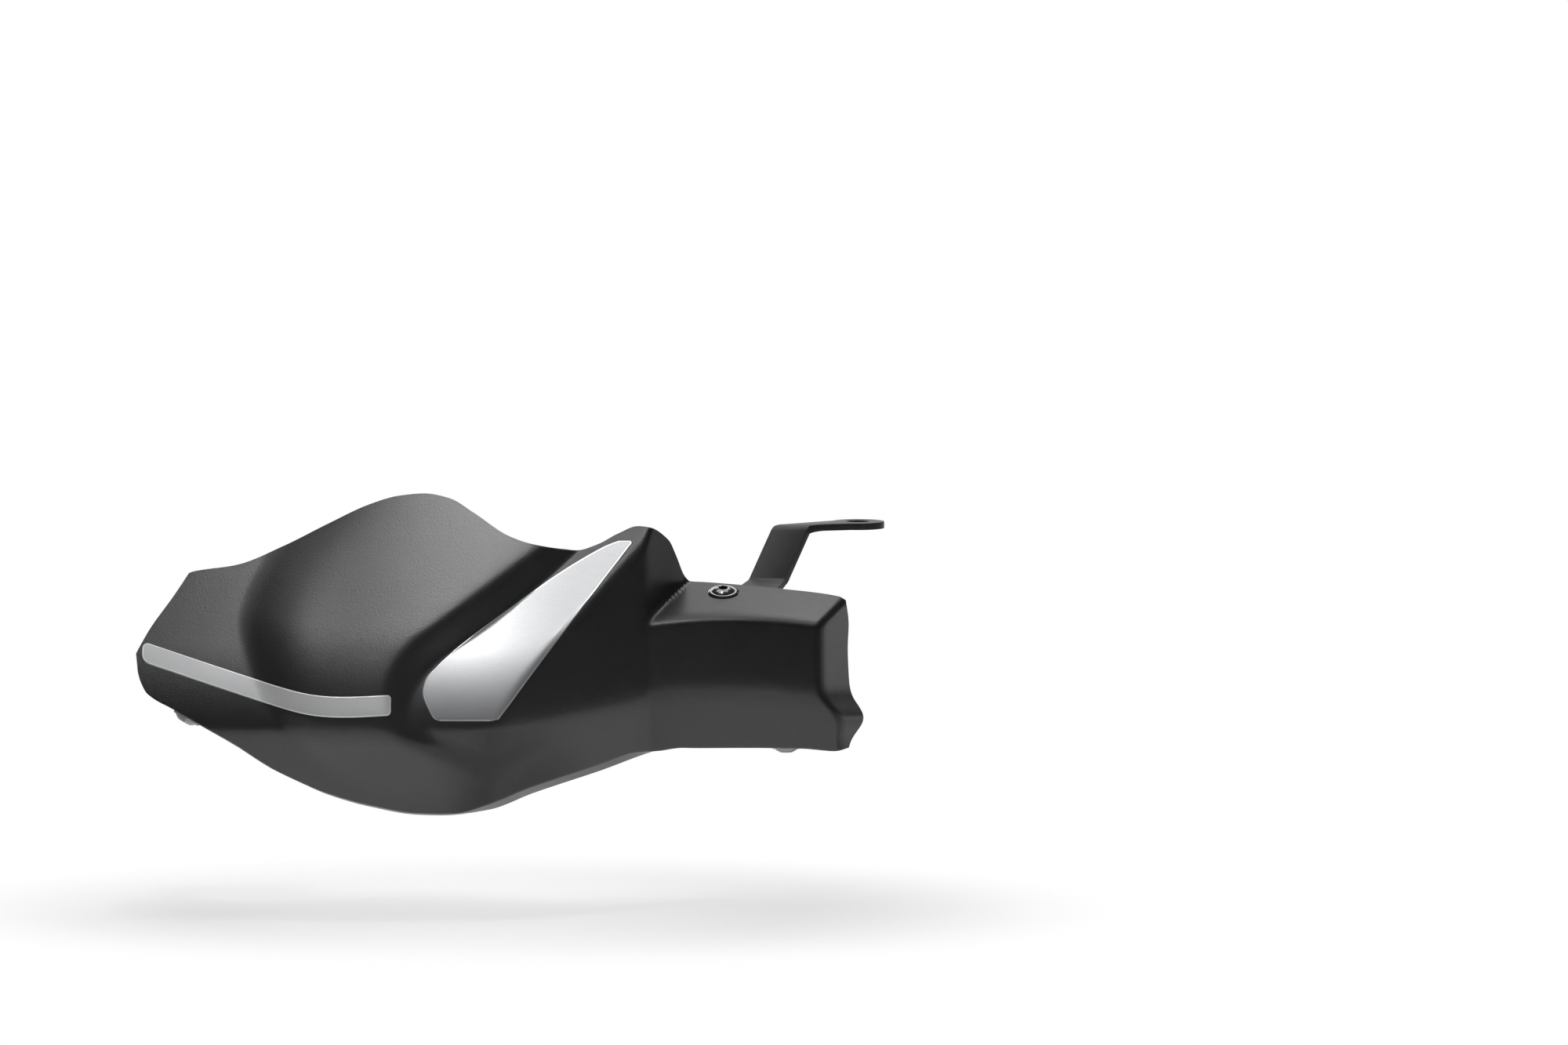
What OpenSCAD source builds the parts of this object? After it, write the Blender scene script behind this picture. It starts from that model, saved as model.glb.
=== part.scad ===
// Right-hand motorcycle hand guard: a moulded shell, two silver films, a folded
// steel strap to the mirror stud and a clamp arm for the end of the handlebar.
// Frame: X runs along the handlebar towards the middle of the bike, Y towards the
// rider and Z up. The origin is the centre of the handlebar's open end.

/* [Shell] */
// Thickness of the moulded wall
wall = 3; // [2:0.5:3.5]
// Lean of the shell against the mirror stud, in degrees
shell_lean = 5; // [0:1:10]
// How far the upper shield slopes back for each millimetre of height
shield_slope = 0.7; // [0.5:0.05:0.85]
// How far the belly slopes back for each millimetre below the chin
belly_slope = 1.15; // [0.9:0.05:1.3]
// Depth of the step between the shield and the pillar
step_depth = 7.5; // [5:0.5:10]
// Depth of the front of the inboard box behind the chin
box_front = 47; // [42:1:52]
// Angle of the top of the box, in degrees
box_top_angle = 24; // [20:1:28]
// Depth of the lower rear edge at the inboard end
rear_depth = 98; // [95:1:104]

/* [Films] */
// Thickness of the silver films
film_t = 0.5; // [0.4:0.1:1]
// Height of the strip along the lower crease
strip_w = 9.2; // [6:0.2:10]

/* [Fixings] */
// Thread diameter of the shell screws
screw_d = 6; // [5:0.5:6]
// Flange diameter of the shell screws
flange_d = 13.6; // [12:0.2:14]
// Height of the dome above the flange
dome_h = 2.1; // [1.5:0.1:3]
// Thickness of the flange
flange_h = 1.2; // [0.8:0.1:1.5]
// Width of the hexagon socket
socket_w = 4; // [3:0.5:4]
// Wall of the metal sleeves in the shell's holes
sleeve_wall = 1; // [0.8:0.1:1.4]
// Diameter of the rubber pads
pad_d = 18; // [16:0.5:19]
// Thickness of the rubber pads
pad_t = 1.5; // [1:0.25:2.5]
// Diameter of the washers
washer_d = 12.5; // [12:0.5:14]
// Thickness of the washers
washer_t = 1.6; // [1:0.2:2]
// Width across the flats of the lock nuts
nut_w = 10; // [10:0.5:11]
// Height of the lock nuts
nut_h = 6; // [5:0.5:7]

/* [Strap] */
// Width of the steel strap
strap_w = 16; // [14:1:20]
// Thickness of the steel strap
strap_t = 3; // [2:0.5:4]
// Inner radius of its folds
fold_r = 3; // [2:0.5:4]
// Diameter of the hole for the mirror stud
stud_hole_d = 10.5; // [8.5:0.5:12]
// Radius of the eye round that hole
eye_r = 12; // [10:0.5:14]

/* [Bar end] */
// Bore of the handlebar that the expander grips
bar_bore = 18; // [16:0.5:19]
// Outer diameter of the handlebar
bar_d = 22; // [22:0.5:25]
// Thickness of the clamp arm
arm_t = 8; // [6:1:10]
// Thread diameter of the long bolt
bolt_d = 8; // [6:1:8]
// Length of the rubber expander
expander_l = 30; // [24:1:36]
// Length of the collar against the bar
collar_l = 8; // [5:1:12]

/* [Hidden] */

// Smooth greatest and least of two depths, rounded over r
function smax(a, b, r) = max(a, b) + pow(max(r - abs(a - b), 0), 2) / (4 * r);
function smin(a, b, r) = min(a, b) - pow(max(r - abs(a - b), 0), 2) / (4 * r);
// Zero below 0 and a straight line above it, rounded over k
function ramp(a, k) = (a + sqrt(a * a + k * k)) / 2;
function clamp01(a) = min(max(a, 0), 1);
function ease(a) = let (t = clamp01(a)) t * t * (3 - 2 * t);
function lerp(a, b, t) = a + (b - a) * t;

// A smooth curve through hand-chosen points, with no overshoot between them
function slope_at(p, i) = (p[i + 1][1] - p[i][1]) / (p[i + 1][0] - p[i][0]);
function tangent(p, i) =
  i == 0 ? slope_at(p, 0)
  : i == len(p) - 1 ? slope_at(p, i - 1)
  : let (a = slope_at(p, i - 1), b = slope_at(p, i)) a * b <= 0 ? 0 : 2 * a * b / (a + b);
function span_of(p, x, i = 0) = i >= len(p) - 2 || x < p[i + 1][0] ? i : span_of(p, x, i + 1);
function curve(p, x) =
  let (
    i = span_of(p, x),
    w = p[i + 1][0] - p[i][0],
    t = clamp01((x - p[i][0]) / w),
    m0 = tangent(p, i) * w,
    m1 = tangent(p, i + 1) * w
  )
  p[i][1] * (1 + 2 * t) * (1 - t) * (1 - t) + m0 * t * (1 - t) * (1 - t)
  + p[i + 1][1] * t * t * (3 - 2 * t) + m1 * t * t * (t - 1);

// Outline of the shell seen from the front, as height over length
TOP = [
  [-140.4, 41.8], [-138, 42.6], [-119.3, 45.4], [-98.2, 54], [-77.9, 64.2], [-60, 72.6],
  [-46.7, 76.5], [-35.4, 77.5], [-24.2, 75.4], [-13, 68.8], [2.5, 58.6], [13.7, 54.7],
  [33, 51.9], [42.8, 54.7], [51.9, 59.5], [60.7, 62.8], [66.3, 62.1], [74.4, 56.5],
  [77.9, 49.1], [81.4, 40.4], [84, 37.9], [91.2, 37.5], [126.3, 34.4], [150.9, 31.1],
  [153.8, 29.4]
];
BOTTOM = [
  [-161.8, -3], [-161.1, -6.3], [-158.1, -13], [-148.4, -20.7], [-138.2, -26.8], [-116, -39.3],
  [-93.7, -50.9], [-77.9, -57.7], [-60, -62.8], [-37.5, -66.7], [-26.7, -67], [-6.3, -64.6],
  [13.7, -57.2], [42.8, -47.7], [72, -37.8], [81, -36.3], [110.2, -36.2], [134.4, -36.6],
  [150, -37.8], [155.2, -37.2]
];
// Depth of the lower rear edge, and width of the rim that turns back to it
REAR = [
  [-161.8, 76], [-157, 84], [-150, 88], [-132, 88], [-112, 76], [-85, 52], [-60, 47],
  [-26, 52], [5, 60], [40, 74], [65, 88], [85, 96], [110, rear_depth], [136, rear_depth],
  [148, 90], [155.2, 82]
];
RIM = [
  [-161.8, 0.5], [-155, 2], [-145, 3.2], [-125, 3.2], [-100, 1], [-20, 0.8], [0, 3], [55, 3],
  [72, -0.6], [90, -1.2], [148, -1], [155.2, 0]
];

length_l = -161.8;
length_r = 156.2;
// Open end of the handlebar in the front view: along, depth and height
BAR = [-125, 105, 14];
module placed() rotate([-shell_lean, 0, 0]) translate(-BAR) children();

// Creases that run along the shell
function strip_crease(x) = -23.8 + 0.335 * ramp(-84 - x, 12) + 0.075 * ramp(x + 70, 12);
function chin_crease(x) = -31.4 + 0.36 * ramp(-95 - x, 12);
function low_crease(x) = -29 + 16.5 * ease((x + 15) / 105) - 0.0018 * pow(max(x - 102, 0), 2);
function high_crease(x) = 22.1 - 0.0019 * pow(x - 102, 2);

// Depth of a leaning face at height h above its crease
function lean(h) =
  let (s0 = 0.25, hk = 40, c = (shield_slope - s0) / (2 * hk))
  h < hk ? s0 * h + c * max(h, 0) * max(h, 0)
  : s0 * hk + c * hk * hk + shield_slope * (h - hk);

// The outboard form: shield, chin band and belly, wrapped back at its outer end
function wrap(x, v) =
  let (s = ramp(-94 + 0.0058 * pow(v - 8, 2) - x, 14))
  0.5 * s + 0.004 * s * s + 0.0006 * pow(x + 25, 2);
function shield(x, v) =
  let (
    h = v - strip_crease(x),
    band = smax(lean(h), -0.06 * h, 1.2),
    belly = 0.5 + belly_slope * (chin_crease(x) - v)
  )
  smax(band, belly, 5) + wrap(x, v);

// Distance inside the wedge where the inboard form comes out of the shield
function wedge(x, v) =
  let (
    upper = (0.734 * (x + 44.6) - (v - 6.3)) / 1.2405,
    nose = x + 51,
    lower = ((v + 32.6) + 0.382 * (x + 47.4)) / 1.07,
    low_side = x + 6
  )
  smin(smin(upper, nose, 16), smax(lower, low_side, 6), 12);

// How far the box's end wall swells inboard above its lower edge
function flare(v) = 6.3 * exp(-pow((v + 24) / 8, 2));

// The inboard form: pillar, its flank and inner side, and the box
flank_k = (box_front - 10.4) / 60.3;
function inboard(x, v) =
  let (
    low = low_crease(x),
    pillar = step_depth + lean(v - low),
    flank = smax(10.4 + flank_k * (x - 3.9), box_front + 1.97 * (x - 64.2), 3),
    top_k = 1 / tan(box_top_angle),
    top = box_front + top_k * (v - high_crease(x)),
    side = box_front + 2.55 * (x - 142.5 - 0.8 * flare(v)),
    upright = smax(pillar, smin(flank, smax(box_front, top, 7), 4), 3.5)
  )
  smax(upright + belly_slope * ramp(low - v, 3.5), side, 7);

// Depth of the outer face anywhere in the front view
function depth(x, v) = smin(shield(x, v) + 1.05 * ramp(wedge(x, v), 3), inboard(x, v), 2.5);

// Columns of the mesh follow the wedge and the pillar: where each one meets the top edge
// and the lower edge, and how the columns are spread along the shell
COL_TOP = [
  [length_l, -140.4], [-130, -112], [-105, -72], [-88, -25], [-72, 8], [-50, 30], [-20, 46],
  [4, 60], [63, 77], [102, 101], [140, 139], [length_r, 153.8]
];
COL_LOW = [[length_l, -161.8], [-94, -94], [-50, -28], [4, 6], [63, 63], [140, 140], [length_r, 155.2]];
COL_AT = [
  [0, length_l], [0.1, -145], [0.28, -100], [0.5, -40], [0.64, 4], [0.8, 70], [0.92, 138], [1, length_r]
];
ROWS = 28;
COLS = 92;

// The ends of the front view bulge past a straight column
function bulge(x, v) =
  (flare(v) + 1.2 * exp(-pow((v - 20) / 9, 2))) * ease((x - 138) / 18)
  - 1.6 * exp(-pow((v - 17) / 14, 2)) * ease((-135 - x) / 20);

// Rows run from the lower rear edge (0) round the rim (2), over the chin (9) and the
// strip crease (13) to the top edge
function row_v(r, bot, low, mid, high, top) =
  r <= 9 ? lerp(bot, low, 1 - pow(1 - (r - 2) / 7, 1.25))
  : r <= 13 ? lerp(low, mid, (r - 9) / 4)
  : r <= 20 ? lerp(mid, high, (r - 13) / 7)
  : lerp(high, top, (r - 20) / (ROWS - 20));
function rim_base(xb) =
  let (
    slope = (curve(BOTTOM, xb + 0.5) - curve(BOTTOM, xb - 0.5)),
    rim = curve(RIM, xb) / sqrt(1 + slope * slope)
  )
  [xb - rim * slope, curve(BOTTOM, xb) + rim];
function front_point(xc, r) =
  let (
    xt = curve(COL_TOP, xc),
    top = curve(TOP, xt),
    base = rim_base(curve(COL_LOW, xc)),
    tall = top - base[1],
    chin = lerp(chin_crease(xc), low_crease(xc), ease((xc + 52) / 30)),
    low = min(max(chin, base[1] + 0.2 * tall), base[1] + 0.6 * tall),
    mid = low + min(8, 0.2 * tall),
    v = row_v(r, base[1], low, mid, lerp(mid, top, 0.6), top),
    x = v < low ? lerp(base[0], xc, (v - base[1]) / (low - base[1]))
      : lerp(xc, xt, (v - low) / (top - low))
  )
  [x + bulge(x, v), v];
function rim_point(xc, r) =
  let (
    xb = curve(COL_LOW, xc),
    base = front_point(xc, 2),
    edge = [xb + bulge(xb, curve(BOTTOM, xb)), curve(BOTTOM, xb)],
    front = depth(base[0], base[1]),
    back = max(curve(REAR, xb), front + 4)
  )
  [lerp(edge[0], base[0], r / 2), lerp(back, front, r / 2), lerp(edge[1], base[1], r / 2)];
function outer(xc, r) =
  r < 2 ? rim_point(xc, r)
  : let (p = front_point(xc, r)) [p[0], depth(p[0], p[1]), p[1]];

// The inner face lies one wall behind the outer one
function unit(a) = a / norm(a);
function face_normal(xc, r) =
  let (
    e = 0.4,
    er = 0.05,
    a = outer(min(xc + e, length_r), r) - outer(max(xc - e, length_l), r),
    b = outer(xc, min(r + er, ROWS)) - outer(xc, max(r - er, 0))
  )
  unit(cross(b, a));
function inner(xc, r) = outer(xc, r) + wall * face_normal(xc, r);
function col_x(i) = curve(COL_AT, i / COLS);

// A closed sheet between two grids of points with the same rows and columns.
// Each cell is cut along the diagonal that bends least across a crease.
module sheet(front, back) {
  nc = len(front);
  nr = len(front[0]);
  n = nc * nr;
  points = concat([for (c = front, p = c) p], [for (c = back, p = c) p]);
  function id(i, r) = i * nr + r;
  function tilt(a, b, c) = unit(cross(b - a, c - a));
  function bend(a, b, c, d) = tilt(a, b, c) * tilt(a, c, d);
  function rising(i, r) =
    let (a = front[i][r], b = front[i][r + 1], c = front[i + 1][r + 1], d = front[i + 1][r])
    bend(a, b, c, d) >= bend(b, c, d, a);
  function quad(a, b, c, d, first = true) = first ? [[a, b, c], [a, c, d]] : [[b, c, d], [b, d, a]];
  faces = concat(
    [for (i = [0:nc - 2], r = [0:nr - 2],
      f = quad(id(i, r), id(i, r + 1), id(i + 1, r + 1), id(i + 1, r), rising(i, r))) f],
    [for (i = [0:nc - 2], r = [0:nr - 2],
      f = quad(id(i, r), id(i, r + 1), id(i + 1, r + 1), id(i + 1, r), rising(i, r)))
      [n + f[2], n + f[1], n + f[0]]],
    [for (i = [0:nc - 2], f = quad(id(i, 0), id(i + 1, 0), n + id(i + 1, 0), n + id(i, 0))) f],
    [for (i = [0:nc - 2], a = id(i, nr - 1), b = id(i + 1, nr - 1), f = quad(a, n + a, n + b, b)) f],
    [for (r = [0:nr - 2], f = quad(id(0, r), n + id(0, r), n + id(0, r + 1), id(0, r + 1))) f],
    [for (r = [0:nr - 2], a = id(nc - 1, r), b = id(nc - 1, r + 1), f = quad(a, b, n + b, n + a)) f]
  );
  polyhedron(points, faces, convexity = 8);
}

module shell_skin()
  sheet(
    [for (i = [0:COLS]) [for (r = [0:ROWS]) outer(col_x(i), r)]],
    [for (i = [0:COLS]) [for (r = [0:ROWS]) inner(col_x(i), r)]]
  );

// Seats of the three shell screws: a point on the outer face and the way out of it
SEAT_SINK = 0.4;
BOSS = 0.8;
grip = wall + BOSS;
function out_at(xc, r) = -face_normal(xc, r);
top_seat = [[98.9, depth(98.9, 33), 33], [0, -sin(box_top_angle), cos(box_top_angle)]];
lower_out = out_at(127, 1);
lower_seat = [outer(127, 1), unit([0, lower_out[1], lower_out[2]])];
outer_seat = [outer(-141.5, 1), out_at(-141.5, 1)];

module at_seat(seat)
  translate(seat[0] - SEAT_SINK * seat[1])
    rotate([0, acos(seat[1][2]), atan2(seat[1][1], seat[1][0])])
      children();

FIT = 0.2;
sleeve_od = screw_d + 2 * FIT + 2 * sleeve_wall;
module seat_boss(seat)
  at_seat(seat) translate([0, 0, -grip]) cylinder(d = pad_d + 1, h = grip - 1, $fn = 48);
module seat_cut(seat)
  at_seat(seat) {
    cylinder(d = flange_d + 1, h = 8, $fn = 48);
    translate([0, 0, -grip - 6]) cylinder(d = sleeve_od + 2 * FIT, h = grip + 7, $fn = 48);
  }

module guard_shell()
  color([0.09, 0.09, 0.095])
    placed()
      difference() {
        union() {
          shell_skin();
          seat_boss(top_seat);
          seat_boss(lower_seat);
          seat_boss(outer_seat);
        }
        seat_cut(top_seat);
        seat_cut(lower_seat);
        seat_cut(outer_seat);
      }

// Silver films: sheets that follow the outer face a hair above it
FILM_GAP = 0.3;
function face_out(x, v) =
  let (e = 0.3)
  unit([(depth(x + e, v) - depth(x - e, v)) / (2 * e), -1, (depth(x, v + e) - depth(x, v - e)) / (2 * e)]);
function on_face(x, v, lift) = [x, depth(x, v), v] + lift * face_out(x, v);

module film(nu, nv, place) {
  function layer(lift) =
    [for (i = [0:nu]) [for (j = [0:nv]) let (p = place(i / nu, j / nv)) on_face(p[0], p[1], lift)]];
  placed() sheet(layer(FILM_GAP + film_t), layer(FILM_GAP));
}

// The strip lies on the crease; its outer end is half round, its inner corners a little
STRIP_L = -160;
STRIP_R = -48.6;
function strip_point(u, t) =
  let (
    x = lerp(STRIP_L, STRIP_R, u),
    outer_end = 0.5 * pow(max(1 - (x - STRIP_L) / 3.5, 0), 2),
    inner_end = 0.12 * pow(max(1 - (STRIP_R - x) / 1.4, 0), 2),
    centre = strip_crease(x) + 0.3 + strip_w / 2
  )
  [x, centre + (t - 0.5) * strip_w * (1 - outer_end - inner_end)];
module edge_strip_film() color([0.75, 0.76, 0.77]) film(60, 4, function(u, t) strip_point(u, t));

// The film on the pillar is a long triangle between two edges
FILM_L = [
  [-24, -26.5], [-23.2, -29.1], [-20.4, -31.2], [-11.2, -34.7], [-6.3, -33.7], [0.7, -28.1],
  [26.3, 3.9], [53.3, 45.3], [56.2, 52.5]
];
FILM_R = [[-24, -4.5], [-23.5, -1], [-21.8, 0.4], [-4.2, 13.3], [53.5, 56.9], [55.1, 58.1], [56.2, 57.3]];
function pillar_point(u, t) =
  let (v = lerp(FILM_L[0][0], FILM_L[len(FILM_L) - 1][0], pow(1 - u, 0.85)))
  [lerp(curve(FILM_L, v), curve(FILM_R, v), t), v];
module pillar_film() color([0.8, 0.81, 0.82]) film(30, 8, function(u, t) pillar_point(u, t));

// A flanged button-head screw that points down from its seat
flange_rim = 0.6 * flange_h;
SOCKET_DEEP = 2.2;
module button_screw(under)
  color([0.05, 0.05, 0.055])
    difference() {
      union() {
        cylinder(d = flange_d, h = flange_rim, $fn = 64);
        translate([0, 0, flange_rim])
          cylinder(d1 = flange_d, d2 = flange_d - 1.4, h = flange_h - flange_rim, $fn = 64);
        translate([0, 0, flange_h]) dome(flange_d / 2 - 1.5, dome_h);
        translate([0, 0, -under]) cylinder(d = screw_d, h = under + 0.1, $fn = 48);
      }
      translate([0, 0, flange_h + dome_h - SOCKET_DEEP])
        cylinder(d = socket_w / cos(30), h = SOCKET_DEEP + 1, $fn = 6);
    }
module dome(r, h)
  let (big = (r * r + h * h) / (2 * h))
  intersection() {
    translate([0, 0, h - big]) sphere(r = big, $fn = 96);
    translate([0, 0, -0.01]) cylinder(r = r + 1, h = h + 1, $fn = 48);
  }
module ring(outside, inside, h)
  difference() {
    cylinder(d = outside, h = h, $fn = 64);
    translate([0, 0, -1]) cylinder(d = inside, h = h + 2, $fn = 48);
  }

// The pieces of a fixing, each at its place under the screw's head
pad_top = -grip;
pad_low = pad_top - pad_t;
strap_low = pad_low - strap_t;
washer_low = strap_low - washer_t;
nut_low = washer_low - nut_h;
screw_hole = screw_d + 2 * FIT;
tapped = screw_d + 0.1;
module on_shell(seat) placed() at_seat(seat) children();
module sleeve(seat)
  color([0.7, 0.7, 0.72])
    on_shell(seat) translate([0, 0, pad_low]) ring(sleeve_od, screw_hole, -pad_low);
module pad(seat)
  color([0.06, 0.06, 0.06])
    on_shell(seat) translate([0, 0, pad_low]) ring(pad_d, sleeve_od + 2 * FIT, pad_t);
module washer(seat)
  color([0.7, 0.71, 0.72])
    on_shell(seat) translate([0, 0, washer_low]) ring(washer_d, screw_hole, washer_t);
module lock_nut(seat)
  color([0.68, 0.69, 0.7])
    on_shell(seat)
      translate([0, 0, nut_low])
        difference() {
          union() {
            cylinder(d = nut_w / cos(30), h = 0.72 * nut_h, $fn = 6);
            cylinder(d = nut_w - 0.8, h = nut_h, $fn = 48);
          }
          translate([0, 0, -1]) cylinder(d = tapped, h = nut_h + 2, $fn = 48);
        }

// Length of shank that shows past a nut
SHOWS = 1.5;
module top_screw() on_shell(top_seat) button_screw(SHOWS - nut_low);
module top_sleeve() sleeve(top_seat);
module top_pad() pad(top_seat);
module top_washer() washer(top_seat);
module top_nut() lock_nut(top_seat);
module lower_screw() on_shell(lower_seat) button_screw(SHOWS - nut_low);
module lower_sleeve() sleeve(lower_seat);
module lower_pad() pad(lower_seat);
module lower_washer() washer(lower_seat);
module lower_nut() lock_nut(lower_seat);
OUTER_SHANK = 18;
module outer_screw() on_shell(outer_seat) button_screw(OUTER_SHANK);
module outer_sleeve() sleeve(outer_seat);
module outer_pad() pad(outer_seat);

// Side view of the strap: [depth, height] of each fold, seen along the handlebar
function behind(seat) =
  let (p = seat[0] + (pad_low - strap_t / 2 - SEAT_SINK) * seat[1]) [p[1], p[2]];
function along(a) = [cos(a), sin(a)];
flange_a = box_top_angle;
heel_a = atan2(lower_seat[1][1], -lower_seat[1][2]);
top_mid = behind(top_seat);
low_mid = behind(lower_seat);
HEEL = [9.5, -10.5];
FLANGE = [-13.2, 27];
LEG = [14, 24.5];
SIDE = [
  low_mid + HEEL[0] * along(heel_a),
  low_mid + HEEL[1] * along(heel_a),
  top_mid + FLANGE[0] * along(flange_a),
  top_mid + FLANGE[1] * along(flange_a),
  top_mid + FLANGE[1] * along(flange_a) + LEG
];
// Left and right edge of the strap at each fold, from its middle line and width
function edges(mid, w) = [mid - w / 2, mid + w / 2];
EDGE = [
  edges(lower_seat[0][0], strap_w), edges(lower_seat[0][0], strap_w),
  edges(103, strap_w + 8), edges(119, strap_w), edges(130, strap_w)
];
fold_mid = fold_r + strap_t / 2;
function heading(i) = let (a = SIDE[i + 1] - SIDE[i]) atan2(a[1], a[0]);
function turn(a, b) = let (d = b - a) d > 180 ? d - 360 : d < -180 ? d + 360 : d;
eye_heading = shell_lean;
function out_heading(i) = i < len(SIDE) - 1 ? heading(i) : eye_heading;
function take(i) = i == 0 ? 0 : fold_mid * tan(abs(turn(heading(i - 1), out_heading(i))) / 2);

// Centre of the eye for the mirror stud, on the plane of the strap's last flat
EYE = [160, 18];

// The folded plate seen from the side: its middle line with round folds, then both faces
FOLD_STEPS = 8;
function fold_station(i, k) =
  let (
    a = heading(i - 1),
    d = turn(a, out_heading(i)),
    side = d > 0 ? 1 : -1,
    centre = SIDE[i] - take(i) * along(a) + side * fold_mid * along(a + 90),
    b = a + d * k / FOLD_STEPS
  )
  [centre - side * fold_mid * along(b + 90), b];
last = len(SIDE) - 1;
stations = concat(
  [[SIDE[0], heading(0)]],
  [for (i = [1:last], k = [0:FOLD_STEPS]) fold_station(i, k)],
  [[SIDE[last] + (EYE[1] + eye_r + 1) * along(eye_heading), eye_heading]]
);
function face_line(side) = [for (s = stations) s[0] + side * strap_t / 2 * along(s[1] + 90)];
function reverse(p) = [for (i = [len(p) - 1:-1:0]) p[i]];
module folded_plate()
  translate([80, 0, 0])
    rotate([90, 0, 90])
      linear_extrude(100)
        polygon(concat(face_line(1), reverse(face_line(-1))));

// The plate's outline: heel and leg seen from the front, flange and eye seen from above
function touch(p, c, r, s) =
  let (d = norm(p - c), a = atan2(p[1] - c[1], p[0] - c[0]), b = acos(r / d)) c + r * along(a + s * b);
module leg_outline()
  translate([0, 120, 0])
    rotate([90, 0, 0])
      linear_extrude(80)
        polygon([
          [EDGE[0][0], SIDE[1][1] - 20], [EDGE[0][1], SIDE[1][1] - 20], [EDGE[1][1], SIDE[1][1] + 4],
          [EDGE[2][1], SIDE[2][1] - 4], [EDGE[2][1], SIDE[2][1]],
          [EDGE[2][0], SIDE[2][1]], [EDGE[2][0], SIDE[2][1] - 4], [EDGE[1][0], SIDE[1][1] + 4]
        ]);
module on_eye_plane() translate([0, SIDE[last][0], SIDE[last][1]]) rotate([eye_heading, 0, 0]) children();
function behind_eye(i) = (SIDE[i] - SIDE[last]) * along(eye_heading);
module flange_outline() {
  low = (SIDE[2] - [0, 1.5] - SIDE[last]) * along(eye_heading + 90);
  p = [EDGE[last][0], 0];
  q = [EDGE[last][1], 0];
  neck = 0.85 * eye_r;
  on_eye_plane()
    translate([0, 0, low]) {
      linear_extrude(10 - low)
        polygon([
          [EDGE[2][0], behind_eye(2) - 15], [EDGE[2][1], behind_eye(2) - 15],
          [EDGE[2][1], behind_eye(2) + 5], [EDGE[3][1], behind_eye(3)], q,
          touch(q, EYE, neck, 1), touch(p, EYE, neck, -1), p,
          [EDGE[3][0], behind_eye(3)], [EDGE[2][0], behind_eye(2) + 5]
        ]);
      translate([EYE[0], EYE[1], 0]) cylinder(r = eye_r, h = 10 - low, $fn = 64);
    }
}
module strap_hole(seat)
  at_seat(seat) translate([0, 0, strap_low - 4]) cylinder(d = screw_hole, h = strap_t + 8, $fn = 48);
module mirror_strap()
  color([0.07, 0.07, 0.075])
    placed()
      difference() {
        intersection() {
          folded_plate();
          union() {
            leg_outline();
            flange_outline();
          }
        }
        strap_hole(top_seat);
        strap_hole(lower_seat);
        on_eye_plane()
          translate([EYE[0], EYE[1], -strap_t])
            cylinder(d = stud_hole_d, h = 2 * strap_t, $fn = 64);
      }

// The clamp arm joins the handlebar's end to the outer screw
HEAD_R = 13;
TOE_R = 7;
TOE_IN = 17;
arm_right = BAR[0] - collar_l;
arm_left = arm_right - arm_t;
bolt_hole = bolt_d + 2 * FIT;
toe = outer_seat[0] - (SEAT_SINK + TOE_IN) * outer_seat[1];
module clamp_arm()
  color([0.1, 0.1, 0.105])
    placed()
      difference() {
        union() {
          translate([arm_left, 0, 0])
            rotate([90, 0, 90]) {
              c1 = [BAR[1], BAR[2]];
              c2 = [toe[1], toe[2]];
              a = atan2(c1[1] - c2[1], c1[0] - c2[0]);
              w1 = 0.8 * HEAD_R * along(a + 90);
              w2 = 0.8 * TOE_R * along(a + 90);
              linear_extrude(arm_t) polygon([c1 + w1, c2 + w2, c2 - w2, c1 - w1]);
              translate([c1[0], c1[1], 0]) cylinder(r = HEAD_R, h = arm_t, $fn = 72);
              translate([c2[0], c2[1], 0]) cylinder(r = TOE_R, h = arm_t, $fn = 48);
            }
          at_seat(outer_seat)
            translate([0, 0, -TOE_IN - 6])
              cylinder(r = TOE_R, h = TOE_IN + 6 + pad_low, $fn = 48);
        }
        translate([arm_left - 1, BAR[1], BAR[2]])
          rotate([0, 90, 0])
            cylinder(d = bolt_hole, h = arm_t + 2, $fn = 48);
        at_seat(outer_seat)
          translate([0, 0, -OUTER_SHANK - 1])
            cylinder(d = tapped, h = OUTER_SHANK + 8, $fn = 48);
      }

// The bar end, along the handlebar from its open end
cone_l = 14;
cone_in = 6;
bar_clear = 0.1;
expand_d = bar_bore - 2 * bar_clear;
cone_d = expand_d - 3;
module on_bar(x) rotate([0, 90, 0]) translate([0, 0, x]) children();
washer_x = -collar_l - arm_t - washer_t;
module end_collar() color([0.09, 0.09, 0.095]) on_bar(-collar_l) ring(bar_d, bolt_hole, collar_l);
module end_washer() color([0.7, 0.71, 0.72]) on_bar(washer_x) ring(2 * bolt_d, bolt_hole, washer_t);
module end_bolt()
  color([0.05, 0.05, 0.055])
    on_bar(washer_x)
      difference() {
        union() {
          translate([0, 0, -bolt_d]) cylinder(d = 1.625 * bolt_d, h = bolt_d, $fn = 64);
          cylinder(d = bolt_d, h = expander_l + cone_l - washer_x, $fn = 48);
        }
        translate([0, 0, -bolt_d - 1]) cylinder(d = 0.75 * bolt_d / cos(30), h = bolt_d / 2 + 1, $fn = 6);
      }
module expander()
  color([0.07, 0.07, 0.07])
    on_bar(0)
      difference() {
        cylinder(d = expand_d, h = expander_l, $fn = 64);
        translate([0, 0, -1]) cylinder(d = bolt_hole, h = expander_l + 2, $fn = 48);
        translate([0, 0, expander_l - cone_in - 2])
          cylinder(d1 = bolt_hole, d2 = cone_d, h = cone_in + 2.01, $fn = 64);
      }
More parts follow.
